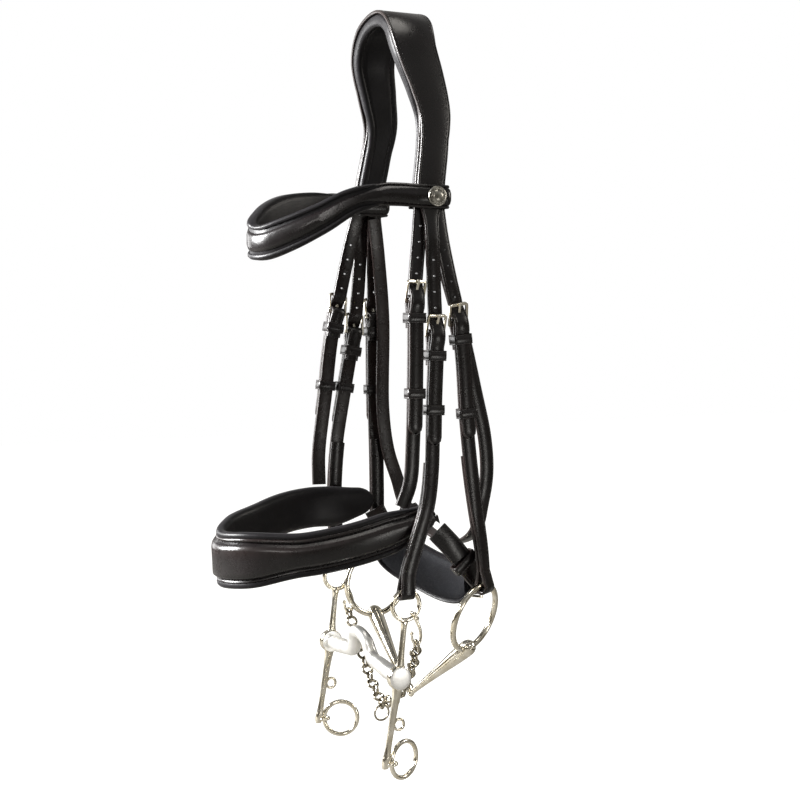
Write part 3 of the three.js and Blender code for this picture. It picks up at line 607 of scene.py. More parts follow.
buckle = {"length": 17.2, "barHalf": 1.2, "depth": 2.2}
keeper = {"length": 8, "wall": 1.5, "slack": 0.4}
foldRadius = math.hypot(buckle["barHalf"], buckle["depth"] / 2) + gap + leather / 2


def arcPairs(distance, rise, radius, start, end, steps=14):
    angles = [start + (end - start) * i / steps for i in range(steps + 1)]
    return [(distance - radius * math.sin(a), rise - radius * math.cos(a)) for a in angles]


def straight(start, end, rise, step=5):
    count = max(1, round(abs(end - start) / step))
    return [(start + (end - start) * i / count, rise) for i in range(count + 1)]


def bentStations(line, pairs):
    places = [line.point(d, rise) for d, rise in pairs]
    return stationsThrough(places, [line.frameAt(d)[2] for d, _ in pairs])


# ---- Cheek straps, their buckles and keepers ----
def makeCheek(kind, side, strap):
    line, at, end = strap["line"], strap["at"], strap["line"].length
    pairs = straight(at + strap["keepers"][0] + keeper["length"], at + 8, 0)
    pairs += arcPairs(at, middle, foldRadius, 0, math.pi)
    pairs += straight(at + 8, end - 12, layer)
    if kind == "noseband":
        pairs.append((end, layer))
    else:
        wire = curb["eyeWire"] if kind == "curb" else bradoon["wire"]
        ringRadius = curb["eyeRadius"] if kind == "curb" else bradoon["radius"]
        sag = (strapWidth / 2) ** 2 / (2 * ringRadius) + 2 * gap
        pairs += arcPairs(end + sag, middle, wire + 3 * gap + leather / 2, math.pi, 2 * math.pi)
        pairs += straight(end - 12, at + strap["billet"] + 14, 0)
    section = roundSlab(strapWidth, leather)
    node = f"{kind}_cheek_{side}"
    piece = layRows(nameOf(node), rowsOf(section, bentStations(line, pairs)), wearOf(section))
    finishPiece(piece, node, waxedLeather)
    face = layer + leather / 2
    for beside in (-4.2, 4.2):
        sew(line, face, beside, at + 4, at + strap["keepers"][0] - 4.6)
        sew(line, face, beside, at + strap["keepers"][0] + 4.6, at + strap["keepers"][0] + 18)
        if kind != "noseband":
            sew(line, face, beside, end - 42, end - 9)


def loopPiece(node, line, distance, width, low, high, length, material):
    at, run, wide, out = line.frameAt(distance)
    wall, corner = keeper["wall"], 1.1
    halfWide = width / 2 + keeper["slack"] + wall / 2
    bottom, top = low - keeper["slack"] - wall / 2, high + keeper["slack"] + wall / 2
    path = []
    corners = ((halfWide, top, 0), (-halfWide, top, 90), (-halfWide, bottom, 180), (halfWide, bottom, 270))
    for x, y, start in corners:
        cx, cy = x - math.copysign(corner, x), y - (corner if y == top else -corner)
        for k in range(6):
            a = math.radians(start + 18 * k)
            path.append((cx + corner * math.cos(a), cy + corner * math.sin(a), math.cos(a), math.sin(a)))
    path.append(path[0])
    section = roundSlab(length, wall, 0.5, 1.2)
    rows = []
    for x, y, nx, ny in path:
        centre, normal = at + wide * x + out * y, wide * nx + out * ny
        rows.append([centre + run * a + normal * o for a, o, _ in section])
    piece = layRows(nameOf(node), rows, wearOf(section))
    return finishPiece(piece, node, material)


for (kind, side), strap in straps.items():
    makeCheek(kind, side, strap)
    finishPiece(roundedCopy(f"{kind}_buckle_{side}", 0.55, 4), f"{kind}_buckle_{side}", polishedSteel)
    finishPiece(roundedCopy(f"{kind}_tongue_{side}", 0.4, 3), f"{kind}_tongue_{side}", polishedSteel)
    lows = (-leather / 2, layer - leather / 2)
    for word, drop, low in zip(("keeper", "runner"), strap["keepers"], lows):
        loopPiece(
            f"{kind}_{word}_{side}", strap["line"], strap["at"] + drop, strapWidth, low,
            2 * layer + leather / 2, keeper["length"], waxedLeather,
        )
print("cheek straps made")

# ---- Over the poll ----
headpiece = {"wide": 40, "narrow": 24, "holes": 4, "holePitch": 12.5, "holeRadius": 0.95}


def crownPart(part):
    return mix(bridle["crownHalf"], browHalf, part)


crownSide = [
    (crownPart(1) + 0.6, -3.4, -browDrop - 8), (crownPart(0.98), -2, -0.92 * browDrop),
    (crownPart(0.84), 2, -0.74 * browDrop), (crownPart(0.58), 5, -0.54 * browDrop),
    (crownPart(0.37), 0, -0.36 * browDrop), (bridle["crownHalf"], -7, -0.16 * browDrop),
    (0.66 * bridle["crownHalf"], -6, -0.05 * browDrop),
]
crown = StrapLine([*crownSide, (0, -4, 0), *[(-x, y, z) for x, y, z in reversed(crownSide)]], -Y)
underStrap = bridle["padThick"] + bridle["crownGap"] + leather / 2
headStack = underStrap + leather + bridle["crownGap"]


def widthNow(z):  # the headpiece's width at a height in the frame
    part = min(1, max(0, -(z - shift.z) / browDrop))
    return mix(headpiece["wide"], headpiece["narrow"], min(1, 1.5 * part))


def billetPairs(strap):
    at, under = strap["at"], middle + 1.3
    lifted = middle + foldRadius + leather
    keyed = [
        (at + strap["billet"], 2 * layer), (at + 9, 2 * layer), (at + 5, lifted + gap * 0.6),
        (at + 1, lifted + 2 * gap), (at - 4, lifted), (at - 13.5, under), (14, under),
    ]
    pairs = []
    for (d0, r0), (d1, r1) in zip(keyed, keyed[1:]):
        count = max(2, round(abs(d1 - d0) / 6))
        pairs += [(mix(d0, d1, i / count), mix(r0, r1, ease(i / count, 0, 1))) for i in range(count)]
    return [*pairs, keyed[-1]]


def headstrapLine(kind, rise, beside):
    ends = []
    for side in ("left", "right"):
        strap = straps[kind, side]
        ends.append([strap["line"].point(d, r) for d, r in billetPairs(strap)])
    over = []
    for i in range(31):
        distance = crown.length * mix(0.03, 0.97, i / 30)
        over.append(crown.point(distance, rise, -beside))
    points = [p - shift for p in [*ends[0], *over, *reversed(ends[1])]]
    return StrapLine(points, -Y)


def makeHeadstrap(node, kind, rise, beside, tapered):
    line = headstrapLine(kind, rise, beside)
    count = int(line.length / 3.2)
    stations = []
    for i in range(count + 1):
        distance = line.length * i / count
        at, run, wide, out = line.frameAt(distance)
        width = strapWidth
        if tapered:
            width = mix(widthNow(at.z), strapWidth, ease(-(at.z - shift.z) - browDrop, -6, 22))
        tip = min(distance, line.length - distance)
        if tip < 6:
            width *= max(0.3, math.sqrt(max(0, 1 - ((6 - tip) / 6) ** 2)))
        stations.append({"at": at, "wide": wide, "out": out, "widen": 1, "thicken": 1, "width": width})
    piece = layRows(
        nameOf(node), rowsOf(lambda s: roundSlab(s["width"], leather, min(0.75, s["width"] / 4)), stations),
        wearOf(roundSlab(strapWidth, leather)),
    )
    punches = []
    for side in ("left", "right"):
        strap = straps[kind, side]
        for k in range(1, headpiece["holes"] + 1):
            at, run, wide, out = strap["line"].frameAt(strap["at"] - 9 - k * headpiece["holePitch"])
            deselectAll()
            bpy.ops.mesh.primitive_cylinder_add(
                vertices=14, radius=headpiece["holeRadius"] / 1000, depth=0.03, location=at / 1000,
                rotation=Z.rotation_difference(out).to_euler(),
            )
            punches.append(bpy.context.object)
    punch = joinAll(punches, "punch")
    cutter = piece.modifiers.new("holes", "BOOLEAN")
    cutter.operation, cutter.object, cutter.solver = "DIFFERENCE", punch, "EXACT"
    makeActive(piece)
    bpy.ops.object.modifier_apply(modifier="holes")
    bpy.data.objects.remove(punch, do_unlink=True)
    finishPiece(piece, node, waxedLeather)
    return line


abreast = strapWidth / 2 + 2 * gap
headpieceLine = makeHeadstrap("headpiece", "curb", headStack, 0, True)
makeHeadstrap("noseband_headstrap", "noseband", underStrap, -abreast, False)
makeHeadstrap("bradoon_headstrap", "bradoon", underStrap, abreast, False)


def headpiecePadSection(s):
    w = s["width"] / 2
    top = mix(5.3, 9.3, ease(w, 13, 17))
    start = min(12.7, w - 1.6)
    right = [
        (w * 0.4, 0.3), (w - 6.4, 0.25), (w - 5.5, 0.95), (w - 4.6, 0.1), (w - 3.2, -0.15), (w - 1.5, 0.35),
        (w - 0.4, 1.6), (w, 3.0), (w - 0.1, top - 2), (w - 0.9, top - 0.7), (w - 2.2, top),
        (max(start, w - 4), top - 0.3), (start, min(top - 0.6, 5.4)), (start * 0.5, 5.3),
    ]
    return [(0, 0.35), *right, (0, 5.3), *[(-a, o) for a, o in reversed(right)]]


def makeHeadpiecePad():
    stations = []
    for i in range(91):
        at, run, wide, out = crown.frameAt(crown.length * mix(0.03, 0.97, i / 90))
        wide = (-Y).lerp(wide, ease(abs(at.x), 8, 24)).normalized()  # the middle rests flat on the poll
        stations.append({
            "at": at, "wide": wide, "out": out, "widen": 1, "thicken": 1, "width": widthNow(at.z),
        })
    piece = layRows("headpiecePad", rowsOf(headpiecePadSection, stations), smoothAngle=60)
    finishPiece(piece, "headpiece_pad", softLining)
    for sign in (1, -1):
        beside = lambda d: sign * (widthNow(crown.frameAt(d)[0].z) / 2 - 5.5)
        sew(crown, 0.75, beside, crown.length * 0.04, crown.length * 0.96)


makeHeadpiecePad()
for sign in (1, -1):
    edge = lambda d: sign * (widthNow(headpieceLine.frameAt(d)[0].z) / 2 - 3.0)
    above = lambda d: headpieceLine.frameAt(d)[0].z > -browDrop + 14
    lowEnd = next(d for d in range(0, 400) if above(d))
    highEnd = next(d for d in range(int(headpieceLine.length), 0, -1) if above(d))
    sew(headpieceLine, leather / 2, edge, lowEnd, highEnd)
print("headpiece made")

# ---- Browband ----
browband = {
    "high": 18, "frontHigh": 27, "thick": 5, "loopThick": 3, "loopRear": 12.4, "loopFront": -15, "corner": 4,
}
loopIn = browHalf - 1.2 - browband["loopThick"] / 2 - gap
loopOut = headHalf + 2.6 + browband["loopThick"] / 2
browPoints = [
    (0.985, -30, 1), (0.92, -46, 0.5), (0.82, -66, -5), (0.66, -88, -18), (0.45, -109, -29),
    (0.19, -125, -36), (-0.07, -129, -34), (-0.31, -117, -22), (-0.53, -95, -9), (-0.73, -68, -2),
    (-0.87, -42, 0.5), (-0.98, -22, 0.5),
]


def browLoop(sign):
    corner, rear, front = browband["corner"], browband["loopRear"], browband["loopFront"]
    points = [(loopIn, front), (loopIn, -1)]
    for middleX, start in ((loopIn + corner, 180), (loopOut - corner, 90)):
        for i in range(9):
            a = math.radians(start - i * 11.25)
            points.append((middleX + corner * math.cos(a), rear - corner + corner * math.sin(a)))
    points += [(loopOut, -1), (loopOut, front)]
    return [Vector((sign * x, y, -browDrop)) + shift for x, y in points]


def panelSection(half, thick, bead, rise=0.0):  # a stitched front panel with a raised middle
    flank = thick * 0.42
    right = [
        (half, -0.2), (half + 0.1, flank * 0.6), (half - 0.5, flank), (half - bead * 0.7, flank + 0.35),
        (half - bead, flank + 0.1), (half - bead - 0.5, flank - 0.35), (half - bead - 1.0, flank + 0.1),
        (half - bead - 2.0, mix(flank, thick, 0.62)), (half - bead - 3.6, thick * 0.93),
        (half * 0.34, thick + 0.1),
    ]
    points = [*right, (0, thick + 0.2), *[(-a, o) for a, o in reversed(right)], (0, -0.2)]
    return [(a, o + rise) for a, o in points]


def rolledSection(half, panelHalf, inner, roll):  # a padded backing whose edges roll forward round a panel
    r = (half - panelHalf) / 2 + 0.5
    right = [
        (half * 0.5, -inner), (half - r * 1.6, -inner + 0.15), (half - r * 0.6, -inner + 0.9),
        (half, -inner + 2.6), (half + 0.2, -inner + 4.4), (half, roll - 1.6), (half - r * 0.5, roll - 0.35),
        (half - r, roll), (half - r * 1.6, roll - 0.5), (panelHalf + 0.1, roll - 1.8), (panelHalf - 0.8, 0.2),
    ]
    return [(0, -inner), *right, (0, 0.2), *[(-a, o) for a, o in reversed(right)]]


def makeBrowband():
    ends = [browLoop(1), list(reversed(browLoop(-1)))]
    front = [Vector((s * headHalf, y, -browDrop + z)) for s, y, z in browPoints]
    joined = StrapLine([ends[0][-1] - shift, *front, ends[1][0] - shift], -Z)
    middlePlaces = [joined.frameAt(joined.length * i / 100)[0] for i in range(1, 100)]
    stations = stationsThrough([*ends[0], *middlePlaces, *ends[1]], -Z)
    frontY, loopFront = -125 + shift.y, browband["loopFront"] + shift.y
    for s in stations:
        s["half"] = mix(browband["frontHigh"], browband["high"], ease(s["at"].y, frontY, loopFront - 25)) / 2
        s["near"] = ease(s["at"].y, loopFront - 25, loopFront)
        s["panel"] = mix(s["half"] - 3.4, s["half"], ease(s["at"].y, loopFront - 48, loopFront - 22))
        s["thick"] = mix(browband["thick"], browband["loopThick"] * 0.9, s["near"])
    section = lambda s: panelSection(s["panel"], s["thick"], 1.6, -s["thick"] / 2)
    wear = [0.6 if 2 <= k % 22 <= 4 else 0 for k in range(22)]
    piece = layRows("browband", rowsOf(section, stations), wear, 50)
    finishPiece(piece, "browband", waxedLeather)
    lined = [dict(s) for s in stations if s["at"].y < loopFront - 14]
    for s in lined:  # its ends tuck in behind the browband
        s["tuck"] = ease(s["at"].y, loopFront - 44, loopFront - 16)
        s["narrow"] = mix(s["half"], 0.84 * s["half"], s["tuck"])
    edge = lambda s: rolledSection(
        s["narrow"], mix(s["panel"], s["narrow"] - 2.6, s["tuck"]), 8.6, mix(1.6, -3.2, s["tuck"]),
    )
    pad = layRows("browbandPad", rowsOf(edge, lined), smoothAngle=60)
    finishPiece(pad, "browband_pad", softLining)
    for sign in (1, -1):
        near = lambda d: ease(joined.frameAt(d)[0].y, loopFront - 25, loopFront)
        halfNow = lambda d: mix(27, 18, ease(joined.frameAt(d)[0].y, frontY, loopFront - 25)) / 2
        cover = lambda d: ease(joined.frameAt(d)[0].y, loopFront - 48, loopFront - 22)
        beside = lambda d: sign * (mix(halfNow(d) - 3.4, halfNow(d), cover(d)) - 2.1)
        height = lambda d: mix(5, 2.7, near(d)) * (0.42 - 0.5)
        sew(joined, height, beside, 6, joined.length - 6)


makeBrowband()


def latheRows(profile, centre, axis, count=40):
    turn = Z.rotation_difference(axis.normalized())
    rows = []
    for radius, height in profile:
        ring = [Vector((radius * math.cos(a), radius * math.sin(a), height)) for a in
                (2 * math.pi * k / count for k in range(count))]
        rows.append([centre + turn @ p for p in ring])
    return rows


rosette = {"radius": 8, "high": 3.2, "beads": 14}
for side, sign in sides.items():
    base = Vector((sign * (loopOut + browband["loopThick"] / 2 + gap), -1, -browDrop)) + shift
    profile = [
        (0.05, 0), (7.6, 0), (8, 0.5), (8, 1.1), (7.6, 1.7), (7.0, 1.9), (6.5, 1.5), (5.4, 1.35), (4.9, 1.6),
        (4.4, 2.3), (3.2, 2.9), (1.6, 3.15), (0.05, 3.2),
    ]
    disc = layRows("disc", latheRows(profile, base, X * sign), smoothAngle=35)
    beads = [disc]
    for k in range(rosette["beads"]):
        a = 2 * math.pi * k / rosette["beads"]
        deselectAll()
        bpy.ops.mesh.primitive_uv_sphere_add(
            segments=12, ring_count=8, radius=0.00062,
            location=(base + X * sign * 1.5 + Vector((0, math.cos(a), math.sin(a))) * 5.95) / 1000,
        )
        bpy.ops.object.transform_apply(location=True, rotation=True, scale=True)
        bpy.ops.object.shade_smooth()
        beads.append(bpy.context.object)
    finishPiece(joinAll(beads, nameOf(f"rosette_{side}")), f"rosette_{side}", engravedSteel)
print("browband made")

# ---- Noseband, chin pad and crank strap ----
def noseStations(count=130):
    stations = []
    for i in range(count + 1):
        at, run, wide, out = noseLine.frameAt(noseLine.length * i / count)
        front = ease(-(at.y - shift.y), 104, 150)
        ending = ease(at.y - shift.y, -42, 0)
        high = mix(mix(noseband["high"], noseband["frontHigh"], front), noseband["crankWidth"] + 3, ending)
        tip = min(i, count - i) * noseLine.length / count
        rounded = math.sqrt(max(0.2, 1 - 0.8 * max(0, (11 - tip) / 11) ** 2))
        stations.append({"at": at, "wide": wide, "out": out, "widen": 1, "thicken": 1,
                         "half": high / 2 * rounded, "front": front, "ending": ending})
    return stations


def nosePanelSection(s):  # upper edge at negative places across, lower edge at positive ones
    half, thick = s["half"] - mix(4.2, 1.4, s["ending"]), noseband["thick"] + 0.3
    drop = mix(0, 1.5, s["front"])
    return [
        (-half, 0.2), (-half - 0.1, 1.6), (-half + 0.6, 2.7), (-half + 1.8, 3.1), (-half + 2.9, 2.6),
        (-half + 3.3, 1.9), (-half + 3.8, 2.3), (-half + 5.2, 4.6), (-half + 7.0, thick),
        (-half + 9.6, thick + 0.5), (0, thick + 0.2), (half * 0.5, thick - 0.2),
        (half - 5.2, thick - 0.8 + drop * 0.2), (half - 3.9, 4.0),
        (half - 2.9, 2.7), (half - 2.4, 2.0), (half - 1.9, 2.4), (half - 0.9, 2.6), (half, 1.8), (half, 0.2),
        (half * 0.5, 0.1), (-half * 0.5, 0.1),
    ]


def nosePadSection(s):
    half = s["half"]
    panel = half - mix(4.2, 1.4, s["ending"])
    return rolledSection(half, panel, 5.9, mix(2.6, 1.2, s["ending"]))


def makeNoseband():
    stations = noseStations()
    wear = [0.7 if k in (2, 3, 8, 9, 17, 18) else 0 for k in range(22)]
    panel = layRows("noseband", rowsOf(nosePanelSection, stations), wear, 50)
    finishPiece(panel, "noseband", waxedLeather)
    pad = layRows("nosebandPad", rowsOf(nosePadSection, stations), smoothAngle=60)
    finishPiece(pad, "noseband_pad", softLining)

    def halfAt(d):
        at = noseLine.frameAt(d)[0]
        front, ending = ease(-(at.y - shift.y), 92, 142), ease(at.y - shift.y, -42, 0)
        high = mix(mix(noseband["high"], noseband["frontHigh"], front), noseband["crankWidth"] + 3, ending)
        return high / 2 - mix(4.2, 1.4, ending)

    sew(noseLine, 2.1, lambda d: 3.4 - halfAt(d), 5, noseLine.length - 5)
    sew(noseLine, 2.2, lambda d: halfAt(d) - 2.3, 5, noseLine.length - 5)


makeNoseband()

chin = {"high": 40, "thick": 5.5}
chinPoints = [
    (0.58, 44, -37), (0.32, 42, -38), (0, 35, -35), (-0.32, 27, -29), (-0.61, 16, -21), (-0.78, 5, -11),
]
chinLine = StrapLine([(s * headHalf, y, noseband["level"] + z) for s, y, z in chinPoints], Z)


def chinSection(s):  # a padded panel with a piped edge
    half, t = s["half"], chin["thick"] / 2
    right = [
        (half * 0.5, -t * 0.95), (half - 4.6, -t * 0.72), (half - 3.6, -t * 0.35), (half - 2.6, -t * 0.8),
        (half - 1.2, -t), (half - 0.1, -t * 0.55), (half, 0), (half - 0.1, t * 0.6), (half - 1.4, t * 0.95),
        (half * 0.5, t),
    ]
    return [(0, -t), *right, (0, t), *[(-a, o) for a, o in reversed(right)]]


def makeChinPad():
    stations = []
    for i in range(61):
        part = i / 60
        at, run, wide, out = chinLine.frameAt(chinLine.length * part)
        narrow = 1 - 0.45 * abs(2 * part - 1) ** 4
        stations.append({"at": at, "wide": wide, "out": out, "widen": 1, "thicken": 1,
                         "half": chin["high"] / 2 * narrow})
    piece = layRows("chinPad", rowsOf(chinSection, stations), smoothAngle=55)
    finishPiece(piece, "chin_pad", softLining)
    piece.data.materials.append(brushedLining)
    for face in piece.data.polygons:  # the side against the chin is a brushed lining inside the piped edge
        centre = Vector(face.center) * 1000
        station = min(stations, key=lambda s: (s["at"] - centre).length)
        away = centre - station["at"]
        if away.dot(station["out"]) < -0.3 and abs(away.dot(station["wide"])) < station["half"] - 3.4:
            face.material_index = 1


makeChinPad()
crankOut = bridle["padThick"] / 2 + 2 * bridle["crownGap"] + leather / 2
alongPad = [chinLine.point(part * chinLine.length, crankOut) - shift for part in (0.2, 0.4, 0.62, 0.85)]
noseZ = noseband["level"]
crankLine = StrapLine(
    [
        (0.9 * headHalf, 6, noseZ + 13), (0.93 * headHalf, 20, noseZ - 2), (0.91 * headHalf, 35, noseZ - 20),
        (0.79 * headHalf, 47.5, noseZ - 33), *alongPad, (-0.84 * headHalf, 9, noseZ + 2),
        (-0.87 * headHalf, 1.5, noseZ + 17),
    ],
    Z,
)


def makeStrapAlong(node, line, width, thick, count):
    stations = []
    for i in range(count + 1):
        at, run, wide, out = line.frameAt(line.length * i / count)
        stations.append({"at": at, "wide": wide, "out": out, "widen": 1, "thicken": 1})
    section = roundSlab(width, thick)
    piece = layRows(nameOf(node), rowsOf(section, stations), wearOf(section))
    return finishPiece(piece, node, waxedLeather)


makeStrapAlong("crank_strap", crankLine, noseband["crankWidth"], leather, 90)
for beside in (-6.9, 6.9):
    sew(crankLine, leather / 2, beside, 3, crankLine.length * 0.3)
    sew(crankLine, leather / 2, beside, crankLine.length * 0.45, crankLine.length - 3)
loopPiece(
    "crank_keeper", crankLine, 0.17 * crankLine.length, noseband["crankWidth"] + 2, -leather / 2 - 1,
    leather / 2 + 1, keeper["length"], waxedLeather,
)
finishPiece(roundedCopy("crank_buckle", 0.6, 4), "crank_buckle", polishedSteel)
print("noseband made")

# ---- Throatlash ----
throatPoints = [
    (0.81, 6, 0.035), (0.88, 12, 0.16), (0.91, 26, 0.31), (0.92, 39.5, 0.48), (0.92, 48.5, 0.6),
    (0.92, 50.5, 0.69), (0.9, 47, 0.77), (0.78, 45, 0.84), (0.4, 41, 0.88), (-0.1, 37, 0.875),
    (-0.6, 32, 0.835), (-0.8, 28, 0.8), (-0.88, 24, 0.74), (-0.91, 16, 0.66), (-0.91, 11, 0.55),
    (-0.91, 11, 0.3), (-0.88, 6, 0.14), (-0.81, 0, 0.035),
]
throatThick = 2.4
throatLine = StrapLine([(s * headHalf, y, level(part)) for s, y, part in throatPoints], Y)
makeStrapAlong("throatlash", throatLine, strapWidth, throatThick, 180)
loopPiece(
    "throatlash_keeper", throatLine, 0.585 * throatLine.length, strapWidth + 2, -throatThick / 2 - 1,
    throatThick / 2 + 1, keeper["length"], waxedLeather,
)
makeStitches()
print("throatlash made,", len(stitchPlaces), "stitches")


# ---- Curb bit ----
def shankPiece(side):
    at = eyeAt(side) + shift
    profile = [  # height under the top ring, half width, half thickness
        (-10.2, 2.6, 1.5), (-13, 3.0, 2.2), (-17, 2.3, 2.2), (-28, 2.2, 2.15), (-40, 2.5, 2.2),
        (-47, 3.4, 2.3),
        (-51, 4.6, 2.3), (-57, 5.2, 2.3), (-63, 4.8, 2.3), (-68, 3.9, 2.3), (-76, 3.1, 2.2), (-95, 2.6, 2.15),
        (-112, 2.4, 2.1), (-118, 2.9, 2.3), (-121, 3.4, 2.5), (-125, 3.2, 2.5), (-128.4, 2.4, 2.0),
    ]
    rows = []
    for z, halfWide, halfThick in profile:
        below = -z - curb["purchase"]  # under the mouthpiece
        lean = curb["upperLean"] * -z if below < 0 else bossY + curb["lowerLean"] * below
        centre = at + Vector((0, lean, z))
        rows.append([
            centre + Y * (halfWide * math.copysign(abs(math.cos(a)) ** 0.75, math.cos(a)))
            + X * (halfThick * math.copysign(abs(math.sin(a)) ** 0.75, math.sin(a)))
            for a in (2 * math.pi * (k + 0.5) / 24 for k in range(24))
        ])
    bar = layRows("bar", smoothRows(rows, 4), smoothAngle=60)
    topRing = ringPiece(curb["eyeRadius"], curb["eyeWire"], at, X, 64, 16)
    bossAt = at + Vector((sides[side] * 0.5, bossY, -curb["purchase"]))
    bossProfile = [
        (0.05, -3.5), (8.9, -3.5), (9.5, -3.0), (9.7, -1.5), (9.7, 1.6), (9.5, 2.4), (9.0, 2.9), (8.4, 3.1),
        (6.2, 3.3), (4.2, 3.4), (2, 3.48), (0.05, 3.5),
    ]
    boss = layRows("boss", latheRows(bossProfile, bossAt, X * sides[side], 48), smoothAngle=35)
    lipY = bossY + curb["lowerLean"] * 0.55 * curb["lever"] + 6.2
    lipEye = ringPiece(4.3, 1.2, at + Vector((0, lipY, -curb["purchase"] - 0.55 * curb["lever"])), X, 40, 12)
    footAt = at + Vector((0, footY + curb["footHole"], footZ))
    foot = ringPiece(3.9, 1.5, footAt, Z, 40, 14)
    node = f"curb_shank_{side}"
    piece = finishPiece(joinAll([bar, topRing, boss, lipEye, foot], nameOf(node)), node, polishedSteel)
    piece.data.materials.append(satinSteel)
    for face in piece.data.polygons:
        if abs(face.normal.x) > 0.8 and (face.center * 1000 - bossAt).length < 9.4:
            face.material_index = 1
    return piece


def smoothRows(rows, steps):  # more rows between the given ones, on smooth curves
    columns = list(zip(*rows))
    smooth = []
    for column in columns:
        ends = [2 * column[0] - column[1], *column, 2 * column[-1] - column[-2]]
        places = []
        for i in range(1, len(ends) - 2):
            places += smoothSpan(ends[i - 1:i + 3], steps)
        smooth.append([*places, column[-1]])
    return [list(row) for row in zip(*smooth)]


for side, sign in sides.items():
    shankPiece(side)
    hole = eyeAt(side) + shift + Vector((0, footY + curb["footHole"], footZ))
    back = Vector((-sign * math.sin(0.38), math.cos(0.38), 0))
    centre = hole + back * curb["reinRing"]
    ring = ringPiece(curb["reinRing"], curb["reinWire"], centre, back.cross(Z), 72, 16)
    ring.name = nameOf(f"curb_rein_ring_{side}")
    finishPiece(ring, f"curb_rein_ring_{side}", polishedSteel)

mouthpiece = {"thick": 6.6, "portHigh": 23}


def makeMouthpiece():
    inner, port = shankX - 3 - gap, mouthpiece["portHigh"]
    half = [
        (inner, 0, 0, 5.0), (0.9 * inner, 0, 0.2, 6.2), (0.78 * inner, 0, 0.5, 6.6),
        (0.5 * inner, 0.5, 2, 6.2),
        (20, 0, 4, 5.8), (15.5, -1, 10, 5.4), (13, -2.5, 17, 5.2), (8, -4, port - 1.5, 5), (0, -4.5, port, 5),
    ]
    whole = half + [(-x, y, z, r) for x, y, z, r in reversed(half[:-1])]
    given = [Vector((x, curb["eyeY"] + bossY + y, level(1) - curb["purchase"] + z)) for x, y, z, _ in whole]
    line = StrapLine(given, Y)
    marks = [
        min(range(len(line.places)), key=lambda k: (line.places[k] - shift - point).length) for point in given
    ]
    places, radii = [], []
    for k in range(0, len(line.places), 8):
        i = max(n for n, mark in enumerate(marks) if mark <= k)
        j = min(i + 1, len(marks) - 1)
        share = (k - marks[i]) / max(1, marks[j] - marks[i])
        places.append(line.places[k])
        radii.append(mix(whole[i][3], whole[j][3], ease(share, 0, 1)))
    piece = layRows("curbMouthpiece", tubeRows(places, radii, Y, 28), smoothAngle=60)
    finishPiece(piece, "curb_mouthpiece", satinSteel)


makeMouthpiece()

hooks = {"wire": 1.2, "drop": 33, "in": 2, "angle": 0.7}
chain = {"link": 4.2, "pitch": 7.2, "wire": 1.2, "fly": 6.4}


def hookEnd(side):
    return eyeAt(side) + Vector((-sides[side] * hooks["in"], 10.5, -hooks["drop"])) + shift


for side, sign in sides.items():
    radial = Vector((0, math.sin(hooks["angle"]), -math.cos(hooks["angle"])))
    onEye = eyeAt(side) + shift + radial * curb["eyeRadius"]
    loopRadius = curb["eyeWire"] + hooks["wire"] + 2 * gap
    turned = Vector((0, math.cos(hooks["angle"]), math.sin(hooks["angle"])))
    loop = ringPiece(loopRadius, hooks["wire"], onEye, turned, 40, 12)
    start = onEye + X * (-sign * loopRadius * 0.7) + radial * (loopRadius * 0.7)
    end = hookEnd(side)
    steps = [(0, 3, 12), (0, 3.4, 4), (0, 1.6, 0.8), (0, -1.6, 0.8), (0, -3.6, 4), (0, -4.4, 9)]
    line = StrapLine([start - shift, *[end + Vector(p) - shift for p in steps]], X)
    places = [line.frameAt(line.length * i / 60)[0] for i in range(61)]
    radii = [hooks["wire"] * mix(1.15, 0.85, i / 60) for i in range(61)]
    places, radii = domed(places, radii)
    rod = layRows("rod", tubeRows(places, radii, X, 16), smoothAngle=60)
    tip = ringPiece(0.9, 0.8, places[-1], X, 20, 10)
    finishPiece(joinAll([loop, rod, tip], nameOf(f"curb_hook_{side}")), f"curb_hook_{side}", polishedSteel)


def makeChain(side, low, between, first):
    end = hookEnd(side) + Z * (0.8 + hooks["wire"] + chain["wire"] - chain["link"] + 0.2)
    line = StrapLine([low, *between, end - shift], Y)
    count = 2 * round(line.length / chain["pitch"] / 2) + first
    links = []
    for i in range(count + 1):
        at, run, _, _ = line.frameAt(line.length * i / count)
        flat = run.cross(Y).normalized()
        normal = flat if (i + first) % 2 else flat.cross(run)
        links.append(ringPiece(chain["link"], chain["wire"], at, normal, 26, 10))
    node = f"curb_chain_{side}"
    finishPiece(joinAll(links, nameOf(node)), node, wornSteel)


chainLow = Vector((0, -17, level(1) - 97))
makeChain(
    "left", chainLow + Vector((4.9, 0, 2)),
    [(0.42 * headHalf, -15, level(1) - 86), (0.83 * headHalf, -14.5, level(1) - 56)], 1,
)
makeChain(
    "right", chainLow,
    [(-0.42 * headHalf, -15.5, level(1) - 82), (-0.78 * headHalf, -14.5, level(1) - 60)], 0,
)
flyRing = ringPiece(chain["fly"], 0.85, chainLow + shift - Z * (chain["fly"] + 1.75), X, 56, 14)
flyRing.name = "flyRing"
finishPiece(flyRing, "fly_ring", wornSteel)
print("curb made")

